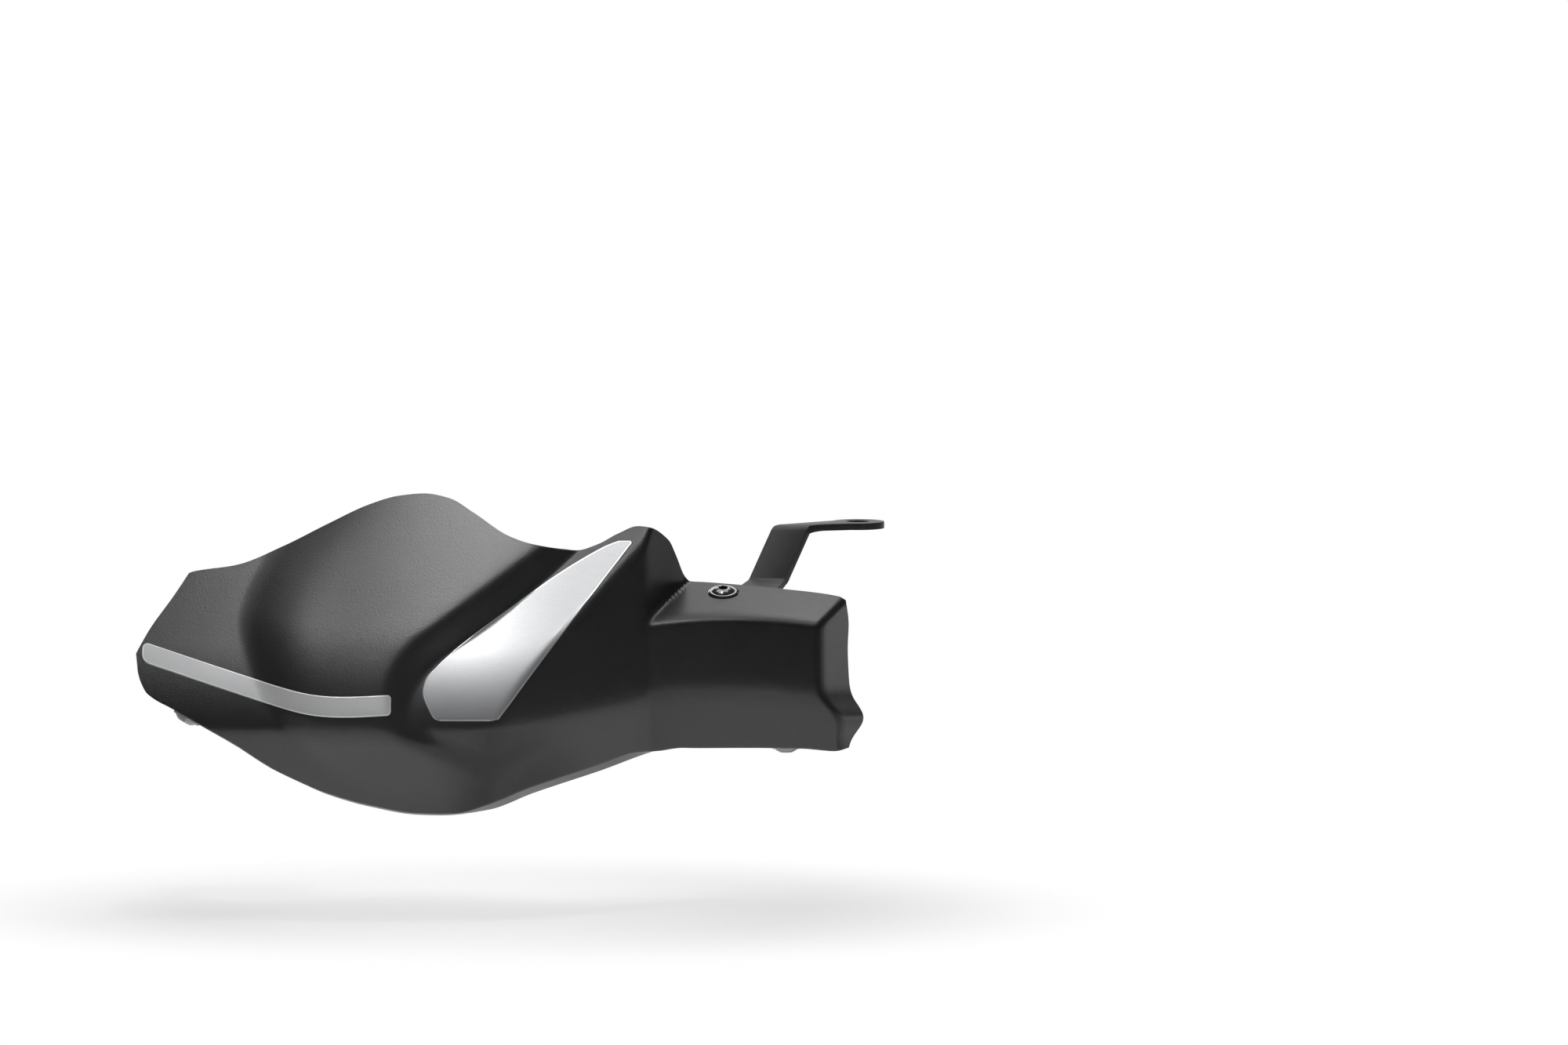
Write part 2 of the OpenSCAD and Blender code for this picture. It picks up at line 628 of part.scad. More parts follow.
module cone_nut()
  color([0.66, 0.67, 0.68])
    on_bar(expander_l)
      difference() {
        union() {
          translate([0, 0, -cone_in])
            cylinder(d1 = bolt_hole + 1.2, d2 = cone_d - 0.3, h = cone_in, $fn = 64);
          cylinder(d = cone_d - 0.3, h = cone_l - 2, $fn = 64);
        }
        translate([0, 0, -cone_in - 1]) cylinder(d = bolt_d + 0.1, h = cone_l + cone_in, $fn = 48);
      }

guard_shell();
edge_strip_film();
pillar_film();
mirror_strap();
top_screw();
top_sleeve();
top_pad();
top_washer();
top_nut();
lower_screw();
lower_sleeve();
lower_pad();
lower_washer();
lower_nut();
outer_screw();
outer_sleeve();
outer_pad();
clamp_arm();
end_bolt();
end_washer();
end_collar();
expander();
cone_nut();
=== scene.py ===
"""Dresses the motorcycle hand guard: fine shell, films, fixings, finishes and light."""
import sys
import logging
import math
from dataclasses import dataclass, field
from enum import Enum
from typing import Callable, Sequence

import bmesh
import bpy
import numpy as np
from mathutils import Matrix, Vector


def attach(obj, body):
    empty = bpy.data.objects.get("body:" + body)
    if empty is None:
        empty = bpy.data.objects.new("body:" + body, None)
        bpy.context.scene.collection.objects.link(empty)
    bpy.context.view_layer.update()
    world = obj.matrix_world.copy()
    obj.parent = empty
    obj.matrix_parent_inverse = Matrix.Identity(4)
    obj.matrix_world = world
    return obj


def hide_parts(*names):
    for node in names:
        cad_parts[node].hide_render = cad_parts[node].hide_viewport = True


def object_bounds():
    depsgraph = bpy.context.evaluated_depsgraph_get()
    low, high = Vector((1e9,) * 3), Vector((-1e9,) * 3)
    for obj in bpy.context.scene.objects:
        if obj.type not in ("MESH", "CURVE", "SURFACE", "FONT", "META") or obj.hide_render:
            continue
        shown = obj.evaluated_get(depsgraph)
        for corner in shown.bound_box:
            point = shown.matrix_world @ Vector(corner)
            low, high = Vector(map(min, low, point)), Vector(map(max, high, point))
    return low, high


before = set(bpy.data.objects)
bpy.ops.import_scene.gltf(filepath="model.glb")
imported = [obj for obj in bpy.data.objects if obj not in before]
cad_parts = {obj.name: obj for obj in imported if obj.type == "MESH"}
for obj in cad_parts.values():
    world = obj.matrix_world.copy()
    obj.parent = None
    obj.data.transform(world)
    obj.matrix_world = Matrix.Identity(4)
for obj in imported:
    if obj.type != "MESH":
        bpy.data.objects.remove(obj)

CAD_BOX = [list(map(float, corner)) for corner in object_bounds()]
LOG = logging.getLogger("hand_guard")
MM = 0.001
BODY = "root"
BEHIND = 0.88
Grid = np.ndarray
Place = Callable[[Grid, Grid], tuple[Grid, Grid]]
Cut = Callable[[Grid, Grid, Grid], Grid]


class Slot(Enum):
    """Material slots of the record."""

    SHELL = "shell_plastic"
    FILM = "silver_film"
    STEEL = "black_steel"
    SCREW = "black_screw"
    ZINC = "zinc"
    RUBBER = "rubber"
    ANODISED = "anodised"


class Seat(Enum):
    """Places of the three shell screws."""

    TOP = "top"
    LOWER = "lower"
    OUTER = "outer"


# Curves and roundings that the shell is made from
def smax(a: Grid, b: Grid, r: float) -> Grid:
    """Greatest of two depths, rounded over r."""
    return np.maximum(a, b) + np.maximum(r - np.abs(a - b), 0) ** 2 / (4 * r)


def smin(a: Grid, b: Grid, r: float) -> Grid:
    """Least of two depths, rounded over r."""
    return np.minimum(a, b) - np.maximum(r - np.abs(a - b), 0) ** 2 / (4 * r)


def ramp(a: Grid, k: float) -> Grid:
    """Zero below 0 and a straight line above it, rounded over k."""
    return (a + np.sqrt(a * a + k * k)) / 2


def ease(a: Grid) -> Grid:
    """Smooth step from 0 to 1."""
    t = np.clip(a, 0, 1)
    return t * t * (3 - 2 * t)


def lerp(a: Grid, b: Grid, t: Grid) -> Grid:
    """Straight blend from a to b."""
    return a + (b - a) * t


def curve(points: Sequence[tuple[float, float]], x: Grid) -> Grid:
    """Smooth curve through points, with no overshoot between them.

    Args:
        points: Pairs of place and value, in rising order of place.
        x: Places to read.

    Returns:
        The curve's values at x.
    """
    p = np.array(points, float)
    step = np.diff(p[:, 0])
    slope = np.diff(p[:, 1]) / step
    a, b = slope[:-1], slope[1:]
    same = a * b > 0
    inner = np.where(same, 2 * a * b / np.where(same, a + b, 1), 0)
    m = np.concatenate([slope[:1], inner, slope[-1:]])
    i = np.clip(np.searchsorted(p[:, 0], x, side="right") - 1, 0, len(p) - 2)
    w = step[i]
    t = np.clip((x - p[i, 0]) / w, 0, 1)
    return (p[i, 1] * (1 + 2 * t) * (1 - t) ** 2 + m[i] * w * t * (1 - t) ** 2
            + p[i + 1, 1] * t * t * (3 - 2 * t) + m[i + 1] * w * t * t * (t - 1))


def unit(v: Grid) -> Grid:
    """Vectors of length one."""
    return v / np.linalg.norm(v, axis=-1, keepdims=True)


@dataclass(frozen=True)
class GuardForm:
    """The shell's outer face, in millimetres seen from the front: along, depth, height."""

    shell_lean: float = 5.0
    wall: float = 3.0
    shield_slope: float = 0.7
    belly_slope: float = 1.15
    step_depth: float = 7.5
    flank_depth: float = 10.4
    flank_run: float = 60.3
    box_front: float = 47.0
    box_start: float = 64.2
    box_wall: float = 142.5
    box_top: float = 22.1
    box_top_angle: float = 24.0
    rear_depth: float = 98.0
    bar: tuple[float, float, float] = (-125.0, 105.0, 14.0)
    rows: int = 28

    TOP = ((-140.4, 41.8), (-138, 42.6), (-119.3, 45.4), (-98.2, 54), (-77.9, 64.2), (-60, 72.6),
           (-46.7, 76.5), (-35.4, 77.5), (-24.2, 75.4), (-13, 68.8), (2.5, 58.6), (13.7, 54.7),
           (33, 51.9), (42.8, 54.7), (51.9, 59.5), (60.7, 62.8), (66.3, 62.1), (74.4, 56.5),
           (77.9, 49.1), (81.4, 40.4), (84, 37.9), (91.2, 37.5), (126.3, 34.4), (150.9, 31.1),
           (153.8, 29.4))
    BOTTOM = ((-161.8, -3), (-161.1, -6.3), (-158.1, -13), (-148.4, -20.7), (-138.2, -26.8),
              (-116, -39.3), (-93.7, -50.9), (-77.9, -57.7), (-60, -62.8), (-37.5, -66.7),
              (-26.7, -67), (-6.3, -64.6), (13.7, -57.2), (42.8, -47.7), (72, -37.8), (81, -36.3),
              (110.2, -36.2), (134.4, -36.6), (150, -37.8), (155.2, -37.2))
    RIM = ((-161.8, 0.5), (-155, 2), (-145, 3.2), (-125, 3.2), (-100, 1), (-20, 0.8), (0, 3),
           (55, 3), (72, -0.6), (90, -1.2), (148, -1), (155.2, 0))
    COL_LOW = ((-161.8, -161.8), (-94, -94), (-50, -28), (4, 6), (63, 63), (140, 140),
               (156.2, 155.2))
    COL_TOP = ((-161.8, -140.4), (-130, -112), (-105, -72), (-88, -25), (-72, 8), (-50, 30),
               (-20, 46), (4, 60), (63, 77), (102, 101), (140, 139), (156.2, 153.8))
    COL_AT = ((0, -161.8), (0.1, -145), (0.28, -100), (0.5, -40), (0.64, 4), (0.8, 70),
              (0.92, 138), (1, 156.2))
    FOLD_ROW, CHIN_ROW, CREASE_ROW, CROWN_ROW = 2, 9, 13, 20
    TOP_SCREW = (98.9, 33.0)
    LOWER_SCREW, OUTER_SCREW, SCREW_ROW = 127.0, -141.5, 1.0

    @property
    def rear(self) -> tuple[tuple[float, float], ...]:
        """Depth of the lower rear edge along the shell.

        Returns:
            Pairs of place and depth.
        """
        return ((-161.8, 76), (-157, 84), (-150, 88), (-132, 88), (-112, 76), (-85, 52), (-60, 47),
                (-26, 52), (5, 60), (40, 74), (65, 88), (85, 96), (110, self.rear_depth),
                (136, self.rear_depth), (148, 90), (155.2, 82))

    def matrix(self) -> Matrix:
        """Turns a front-view point in millimetres into the row frame in metres."""
        return (Matrix.Rotation(math.radians(-self.shell_lean), 4, "X") @ Matrix.Scale(MM, 4)
                @ Matrix.Translation(-Vector(self.bar)))

    def strip_crease(self, x: Grid) -> Grid:
        """Height of the crease under the strip."""
        return -23.8 + 0.335 * ramp(-84 - x, 12) + 0.075 * ramp(x + 70, 12)

    def chin_crease(self, x: Grid) -> Grid:
        """Height of the chin fold."""
        return -31.4 + 0.36 * ramp(-95 - x, 12)

    def low_crease(self, x: Grid) -> Grid:
        """Height of the fold under the pillar and the box."""
        return -29 + 16.5 * ease((x + 15) / 105) - 0.0018 * np.maximum(x - 102, 0) ** 2

    def lean(self, h: Grid) -> Grid:
        """Depth of a leaning face at height h above its crease.

        Args:
            h: Heights above the crease.

        Returns:
            Depths.
        """
        s0, hk = 0.25, 40.0
        c = (self.shield_slope - s0) / (2 * hk)
        low = s0 * h + c * np.maximum(h, 0) ** 2
        return np.where(h < hk, low, s0 * hk + c * hk * hk + self.shield_slope * (h - hk))

    def shield(self, x: Grid, v: Grid) -> Grid:
        """Depth of the shield, chin band and belly, wrapped back at the outer end.

        Args:
            x: Places along.
            v: Heights.

        Returns:
            Depths.
        """
        h = v - self.strip_crease(x)
        band = smax(self.lean(h), -0.06 * h, 1.2)
        belly = 0.5 + self.belly_slope * (self.chin_crease(x) - v)
        s = ramp(-94 + 0.0058 * (v - 8) ** 2 - x, 14)
        return smax(band, belly, 5) + 0.5 * s + 0.004 * s * s + 0.0006 * (x + 25) ** 2

    def wedge(self, x: Grid, v: Grid) -> Grid:
        """Distance inside the wedge where the inboard form leaves the shield.

        Args:
            x: Places along.
            v: Heights.

        Returns:
            Distances inside it, negative outside.
        """
        upper = (0.734 * (x + 44.6) - (v - 6.3)) / 1.2405
        lower = ((v + 32.6) + 0.382 * (x + 47.4)) / 1.07
        return smin(smin(upper, x + 51, 16), smax(lower, x + 6, 6), 12)

    def flare(self, v: Grid) -> Grid:
        """How far the box's end wall swells inboard above its lower edge."""
        return 6.3 * np.exp(-((v + 24) / 8) ** 2)

    def inboard(self, x: Grid, v: Grid) -> Grid:
        """Depth of the pillar, its flank and the box.

        Args:
            x: Places along.
            v: Heights.

        Returns:
            Depths.
        """
        low = self.low_crease(x)
        pillar = self.step_depth + self.lean(v - low)
        flank_k = (self.box_front - self.flank_depth) / self.flank_run
        flank = smax(self.flank_depth + flank_k * (x - 3.9),
                     self.box_front + 1.97 * (x - self.box_start), 3)
        high = self.box_top - 0.0019 * (x - 102) ** 2
        top = self.box_front + (v - high) / math.tan(math.radians(self.box_top_angle))
        side = self.box_front + 2.55 * (x - self.box_wall - 0.8 * self.flare(v))
        upright = smax(pillar, smin(flank, smax(self.box_front + 0 * x, top, 7), 4), 3.5)
        return smax(upright + self.belly_slope * ramp(low - v, 3.5), side, 7)

    def depth(self, x: Grid, v: Grid) -> Grid:
        """Depth of the outer face anywhere in the front view."""
        return smin(self.shield(x, v) + 1.05 * ramp(self.wedge(x, v), 3), self.inboard(x, v), 2.5)

    def bulge(self, x: Grid, v: Grid) -> Grid:
        """How far the ends bulge past a straight column."""
        inner = (self.flare(v) + 1.2 * np.exp(-((v - 20) / 9) ** 2)) * ease((x - 138) / 18)
        return inner - 1.6 * np.exp(-((v - 17) / 14) ** 2) * ease((-135 - x) / 20)

    def row_v(self, r: Grid, bot: Grid, low: Grid, mid: Grid, high: Grid, top: Grid) -> Grid:
        """Height of row r between the lower edge, chin, strip crease and top edge.

        Args:
            r: Row numbers.
            bot: Heights of the lower fold.
            low: Heights of the chin fold.
            mid: Heights of the strip's crease.
            high: Heights where the crown starts.
            top: Heights of the top edge.

        Returns:
            Heights of the rows.
        """
        fold, chin, crease, crown = self.FOLD_ROW, self.CHIN_ROW, self.CREASE_ROW, self.CROWN_ROW
        under = lerp(bot, low, 1 - np.maximum(1 - (r - fold) / (chin - fold), 0) ** 1.25)
        band = lerp(low, mid, (r - chin) / (crease - chin))
        face = lerp(mid, high, (r - crease) / (crown - crease))
        upper = lerp(high, top, (r - crown) / (self.rows - crown))
        return np.where(r <= chin, under, np.where(r <= crease, band, np.where(r <= crown, face, upper)))

    def front_point(self, xc: Grid, r: Grid) -> tuple[Grid, Grid]:
        """Front-view place of column xc at row r, from the lower fold upwards.

        Args:
            xc: Columns, named by their place along the shield.
            r: Row numbers, from the lower fold up.

        Returns:
            Places along and heights.
        """
        xt = curve(self.COL_TOP, xc)
        top = curve(self.TOP, xt)
        xb = curve(self.COL_LOW, xc)
        slope = curve(self.BOTTOM, xb + 0.5) - curve(self.BOTTOM, xb - 0.5)
        rim = curve(self.RIM, xb) / np.sqrt(1 + slope * slope)
        bx, bv = xb - rim * slope, curve(self.BOTTOM, xb) + rim
        tall = top - bv
        chin = lerp(self.chin_crease(xc), self.low_crease(xc), ease((xc + 52) / 30))
        low = np.minimum(np.maximum(chin, bv + 0.2 * tall), bv + 0.6 * tall)
        mid = low + np.minimum(8, 0.2 * tall)
        v = self.row_v(r, bv, low, mid, lerp(mid, top, 0.6), top)
        below = lerp(bx, xc, (v - bv) / (low - bv))
        x = np.where(v < low, below, lerp(xc, xt, (v - low) / (top - low)))
        return x + self.bulge(x, v), v

    def outer(self, xc: Grid, r: Grid) -> Grid:
        """Point of the outer face at column xc and row r, the rim included.

        Args:
            xc: Columns.
            r: Row numbers, 0 at the rear edge.

        Returns:
            Points.
        """
        x, v = self.front_point(xc, np.maximum(r, self.FOLD_ROW))
        face = np.stack([x, self.depth(x, v), v], -1)
        xb = curve(self.COL_LOW, xc)
        vb = curve(self.BOTTOM, xb)
        back = np.maximum(curve(self.rear, xb), face[..., 1] + 4)
        edge = np.stack([xb + self.bulge(xb, vb), back, vb], -1)
        t = np.clip(r / self.FOLD_ROW, 0, 1)[..., None]
        return lerp(edge, face, t)

    def out_at(self, xc: float, r: float) -> Grid:
        """Unit vector out of the outer face.

        Args:
            xc: The column.
            r: The row number.

        Returns:
            The way out of the shell.
        """
        e, er = 0.4, 0.05
        xc, r = np.float64(xc), np.float64(r)
        a = self.outer(xc + e, r) - self.outer(xc - e, r)
        b = self.outer(xc, r + er) - self.outer(xc, r - er)
        return -unit(np.cross(b, a))

    def face_out(self, x: Grid, v: Grid) -> Grid:
        """Unit vector out of the face at a front-view place.

        Args:
            x: Places along.
            v: Heights.

        Returns:
            The way out of the shell at each place.
        """
        e = 0.3
        dx = (self.depth(x + e, v) - self.depth(x - e, v)) / (2 * e)
        dv = (self.depth(x, v + e) - self.depth(x, v - e)) / (2 * e)
        return unit(np.stack([dx, -np.ones_like(dx), dv], -1))

    def seat(self, place: Seat) -> tuple[Grid, Grid]:
        """Point of a screw's seat on the outer face, and the way out of it.

        Args:
            place: Which screw.

        Returns:
            The point and the unit vector.
        """
        if place is Seat.TOP:
            a = math.radians(self.box_top_angle)
            x, v = np.array(self.TOP_SCREW)
            return np.array([x, self.depth(x, v), v]), np.array([0, -math.sin(a), math.cos(a)])
        column = self.LOWER_SCREW if place is Seat.LOWER else self.OUTER_SCREW
        out = self.out_at(column, self.SCREW_ROW)
        if place is Seat.LOWER:
            out = unit(out * np.array([0, 1, 1]))
        return self.outer(np.float64(column), np.float64(self.SCREW_ROW)), out

    def seat_matrix(self, place: Seat, sink: float = 0.4) -> Matrix:
        """Frame of a seat in the row frame: its Z axis points out of the shell.

        Args:
            place: Which screw.
            sink: How deep the seat lies below the face.

        Returns:
            The seat's frame.
        """
        point, out = self.seat(place)
        turn = (Matrix.Rotation(math.atan2(out[1], out[0]), 4, "Z")
                @ Matrix.Rotation(math.acos(out[2]), 4, "Y"))
        return self.matrix() @ Matrix.Translation(Vector(point - sink * out)) @ turn


# Shader maths written as Python expressions
class Value:
    """A number socket of a node tree that takes part in arithmetic."""

    def __init__(self, nodes: "Nodes", socket: bpy.types.NodeSocket) -> None:
        """Keeps the socket and the tree it belongs to."""
        self.nodes = nodes
        self.socket = socket

    def math(self, operation: str, *others: "Value | float", clamp: bool = False) -> "Value":
        """One Math node on this value.

        Args:
            operation: The node's operation.
            others: The other inputs.
            clamp: True to keep the result between 0 and 1.

        Returns:
            The node's result.
        """
        return self.nodes.math(operation, self, *others, clamp=clamp)

    def __add__(self, other: "Value | float") -> "Value":
        """Sum."""
        return self.math("ADD", other)

    __radd__ = __add__

    def __mul__(self, other: "Value | float") -> "Value":
        """Product."""
        return self.math("MULTIPLY", other)

    __rmul__ = __mul__

    def __sub__(self, other: "Value | float") -> "Value":
        """Difference."""
        return self.math("SUBTRACT", other)

    def __rsub__(self, other: float) -> "Value":
        """Difference from a number."""
        return self.nodes.math("SUBTRACT", other, self)

    def step(self, low: float, high: float) -> "Value":
        """Smooth step from 0 at low to 1 at high.

        Args:
            low: The value that gives 0.
            high: The value that gives 1.

        Returns:
            The step's result.
        """
        node = self.nodes.add("ShaderNodeMapRange", {"interpolation_type": "SMOOTHSTEP"},
                              {"Value": self, "From Min": low, "From Max": high})
        return Value(self.nodes, node.outputs["Result"])


class Nodes:
    """Adds nodes to the tree of a material or of the world."""

    def __init__(self, owner: bpy.types.Material | bpy.types.World) -> None:
        """Opens the owner's node tree."""
        owner.use_nodes = True
        self.tree = owner.node_tree

    def feed(self, socket: bpy.types.NodeSocket, value: object) -> None:
        """Links a value to a socket, or sets the socket where it is a constant.

        Args:
            socket: An input of a node.
            value: A value, a socket or a constant.
        """
        if isinstance(value, Value):
            value = value.socket
        if isinstance(value, bpy.types.NodeSocket):
            self.tree.links.new(value, socket)
        else:
            socket.default_value = value

    def add(self, kind: str, settings: dict[str, object] | None = None,
            inputs: dict[str | int, object] | None = None) -> bpy.types.Node:
        """Adds any node.

        Args:
            kind: The node's type.
            settings: Properties, set before the sockets.
            inputs: Socket values or links, by socket name or index.

        Returns:
            The new node.
        """
        node = self.tree.nodes.new(kind)
        for key, value in (settings or {}).items():
            setattr(node, key, value)
        for key, value in (inputs or {}).items():
            self.feed(node.inputs[key], value)
        return node

    def math(self, operation: str, *values: "Value | float", clamp: bool = False) -> Value:
        """One Math node on values or numbers.

        Args:
            operation: The node's operation.
            values: Its inputs.
            clamp: True to keep the result between 0 and 1.

        Returns:
            The node's result.
        """
        node = self.add("ShaderNodeMath", {"operation": operation, "use_clamp": clamp},
                        dict(enumerate(values)))
        return Value(self, node.outputs[0])

    def white_seen(self, along: Value) -> Value:
        """Where a ray finds plain white: views and clear glass all round, mirrors behind the guard.

        Args:
            along: Depth behind the guard. Mirrors find white where it is past BEHIND.

        Returns:
            1 for plain white, 0 for the real light.
        """
        path = self.add("ShaderNodeLightPath").outputs
        viewed, passed, glossy = (Value(self, path[f"Is {kind} Ray"])
                                  for kind in ("Camera", "Transmission", "Glossy"))
        mirrored = glossy * along.math("GREATER_THAN", BEHIND)
        return viewed.math("MAXIMUM", passed).math("MAXIMUM", mirrored)


class Shader(Nodes):
    """Builds one material."""

    def __init__(self, name: str) -> None:
        """Makes an empty material with its shader and output.

        Args:
            name: The material's name.
        """
        self.material = bpy.data.materials.new(name)
        super().__init__(self.material)
        self.surface = self.tree.nodes["Principled BSDF"]

    def place(self, stretch: Sequence[float] = (1, 1, 1)) -> bpy.types.NodeSocket:
        """Object coordinates, scaled along each axis.

        Args:
            stretch: Factor along each axis.

        Returns:
            The scaled coordinates.
        """
        coordinate = self.add("ShaderNodeTexCoord")
        node = self.add("ShaderNodeMapping", inputs={"Vector": coordinate.outputs["Object"],
                                                     "Scale": tuple(stretch)})
        return node.outputs[0]

    def attribute(self, name: str) -> Value:
        """A mesh attribute."""
        node = self.add("ShaderNodeAttribute", {"attribute_name": name})
        return Value(self, node.outputs["Fac"])

    def noise(self, size_mm: float, detail: float = 2, rough: float = 0.5,
              stretch: Sequence[float] = (1, 1, 1)) -> Value:
        """Noise whose features are about size_mm across.

        Args:
            size_mm: Size of a feature.
            detail: How many finer layers it has.
            rough: How strong the finer layers are.
            stretch: Factor along each axis.

        Returns:
            The noise.
        """
        node = self.add("ShaderNodeTexNoise", inputs={"Vector": self.place(stretch),
                                                      "Scale": 1 / (size_mm * MM),
                                                      "Detail": detail, "Roughness": rough})
        return Value(self, node.outputs["Fac"])

    def cells(self, size_mm: float) -> Value:
        """Cell pattern whose cells are about size_mm across.

        Args:
            size_mm: Size of a cell.

        Returns:
            Distance to the nearest cell's middle.
        """
        node = self.add("ShaderNodeTexVoronoi",
                        inputs={"Vector": self.place(), "Scale": 1 / (size_mm * MM)})
        return Value(self, node.outputs["Distance"])

    def tint(self, factor: Value, low: Sequence[float], high: Sequence[float]) -> bpy.types.NodeSocket:
        """Blend of two colours.

        Args:
            factor: Share of the second colour.
            low: The first colour.
            high: The second colour.

        Returns:
            The blend.
        """
        node = self.add("ShaderNodeMix", {"data_type": "RGBA"},
                        {"Factor": factor, 6: (*low, 1), 7: (*high, 1)})
        return node.outputs[2]

    def bump(self, layers: Sequence[tuple[Value, float, float]]) -> bpy.types.NodeSocket:
        """Bumps laid over one another.

        Args:
            layers: Height, strength and distance in millimetres of each.

        Returns:
            The last bump's normal.
        """
        normal = None
        for height, strength, distance in layers:
            inputs = {"Height": height, "Strength": strength, "Distance": distance * MM}
            if normal is not None:
                inputs["Normal"] = normal
            normal = self.add("ShaderNodeBump", inputs=inputs).outputs[0]
        return normal

    def finish(self, **inputs: object) -> bpy.types.Material:
        """Sets the surface's sockets, spaces in their names written as underscores.

        Args:
            inputs: A value, a socket or a constant for each.

        Returns:
            The material.
        """
        for key, value in inputs.items():
            self.feed(self.surface.inputs[key.replace("_", " ")], value)
        return self.material


@dataclass(frozen=True)
class MouldedPlastic:
    """Matt black moulded plastic with a fine spark-eroded grain."""

    colour: tuple[float, float, float] = (0.017, 0.017, 0.018)
    dusty: tuple[float, float, float] = (0.03, 0.03, 0.031)
    roughness: float = 0.36
    grain_mm: float = 0.7

    def build(self) -> bpy.types.Material:
        """Makes the material.

        Returns:
            The material.
        """
        s = Shader("moulded_plastic")
        cloud = s.noise(38, 3, 0.55)
        mottle = s.noise(5, 3, 0.6)
        grain = s.noise(self.grain_mm, 2, 0.6)
        pits = s.cells(0.9)
        scratch = s.noise(1.6, 2, 0.4, (1, 14, 14)).step(0.68, 0.74) * s.noise(24, 1).step(0.5, 0.6)
        return s.finish(
            Base_Color=s.tint(cloud * 0.6 + mottle * 0.4, self.colour, self.dusty),
            Roughness=(cloud * 0.06 + mottle * 0.05 + grain * 0.08 + scratch * 0.05
                       + (self.roughness - 0.1)),
            Specular_IOR_Level=0.5,
            Normal=s.bump([(mottle, 0.08, 0.12), (pits, 0.35, 0.05), (grain, 0.9, 0.08)]))


@dataclass(frozen=True)
class SilverFilm:
    """Silver foil with a fine metallic fleck, a painted highlight as a lighter line round its edge and
    painted shade in a darker band just inside it.
    """

    name: str = "silver_foil"
    colour: tuple[float, float, float] = (0.34, 0.343, 0.35)
    # Lighter foil tone, also the colour of the painted highlight along the edge.
    light: tuple[float, float, float] = (0.6, 0.605, 0.61)
    roughness: float = 0.42
    metal: float = 0.6
    rim_highlight_mm: float = 0.75

    def build(self) -> bpy.types.Material:
        """Makes the material.

        Returns:
            The material.
        """
        s = Shader(self.name)
        edge = s.attribute("from_edge")
        # Painted highlight: lighter colour in a thin line along the film's edge.
        line = 1 - edge.step(self.rim_highlight_mm - 0.12, self.rim_highlight_mm + 0.12)
        # Painted shade: darker colour in a band just inside the edge line.
        painted_inner_shade = (edge.step(self.rim_highlight_mm + 0.05, self.rim_highlight_mm + 0.2)
                  * (1 - edge.step(self.rim_highlight_mm + 0.3, self.rim_highlight_mm + 0.5)))
        fleck = s.noise(0.28, 1, 0.5).step(0.44, 0.72)
        brushed = s.noise(0.9, 2, 0.5, (0.15, 1, 1))
        # Fleck and brushing are the foil's own tone; the edge line adds painted highlight and the band
        # inside it painted shade.
        tone = fleck * 0.2 + brushed * 0.12 + line * 0.75 - painted_inner_shade * 0.3
        return s.finish(
            Base_Color=s.tint(tone.math("MAXIMUM", 0, clamp=True), self.colour, self.light),
            Metallic=self.metal,
            Roughness=(fleck * 0.12 + (self.roughness - 0.04)) + line * -0.08,
            Coat_Weight=0.2, Coat_Roughness=0.16,
            Normal=s.bump([(fleck, 0.12, 0.02), (line, 0.35, 0.06)]))


@dataclass(frozen=True)
class PaintedSteel:
    """Satin black powder coat on steel, a little worn and dusty."""

    name: str = "powder_coat"
    colour: tuple[float, float, float] = (0.04, 0.04, 0.042)
    roughness: float = 0.46
    peel_mm: float = 0.9
    coat: float = 0.0
    coat_ior: float = 1.5
    shine: float = 0.5

    def build(self) -> bpy.types.Material:
        """Makes the material.

        Returns:
            The material.
        """
        s = Shader(self.name)
        peel = s.noise(self.peel_mm, 2, 0.5)
        dust = s.noise(7, 3, 0.6)
        light = tuple(c * 1.7 for c in self.colour)
        return s.finish(
            Base_Color=s.tint(dust, self.colour, light),
            Roughness=peel * 0.08 + dust * 0.12 + (self.roughness - 0.1),
            Specular_IOR_Level=self.shine,
            Coat_Weight=self.coat, Coat_Roughness=0.08, Coat_IOR=self.coat_ior,
            Normal=s.bump([(peel, 0.12, 0.05)]))


@dataclass(frozen=True)
class ZincPlate:
    """Turned steel with zinc plating."""

    colour: tuple[float, float, float] = (0.52, 0.53, 0.54)
    roughness: float = 0.34

    def build(self) -> bpy.types.Material:
        """Makes the material.

        Returns:
            The material.
        """
        s = Shader("zinc_plate")
        cloud = s.noise(2.5, 3, 0.6)
        turned = s.noise(0.5, 2, 0.5, (1, 0.3, 1))
        return s.finish(
            Base_Color=s.tint(cloud, self.colour, tuple(c * 1.25 for c in self.colour)),
            Metallic=0.95,
            Roughness=cloud * 0.12 + turned * 0.08 + (self.roughness - 0.1),
            Normal=s.bump([(turned, 0.12, 0.03)]))


@dataclass(frozen=True)
class BlackRubber:
    """Matt moulded rubber with a bloom."""

    colour: tuple[float, float, float] = (0.021, 0.021, 0.021)
    roughness: float = 0.72

    def build(self) -> bpy.types.Material:
        """Makes the material.

        Returns:
            The material.
        """
        s = Shader("moulded_rubber")
        bloom = s.noise(3, 3, 0.6)
        grit = s.noise(0.3, 2, 0.6)
        return s.finish(
            Base_Color=s.tint(bloom, self.colour, (0.05, 0.049, 0.047)),
            Roughness=bloom * 0.1 + (self.roughness - 0.05),
            Normal=s.bump([(bloom, 0.1, 0.1), (grit, 0.2, 0.03)]))


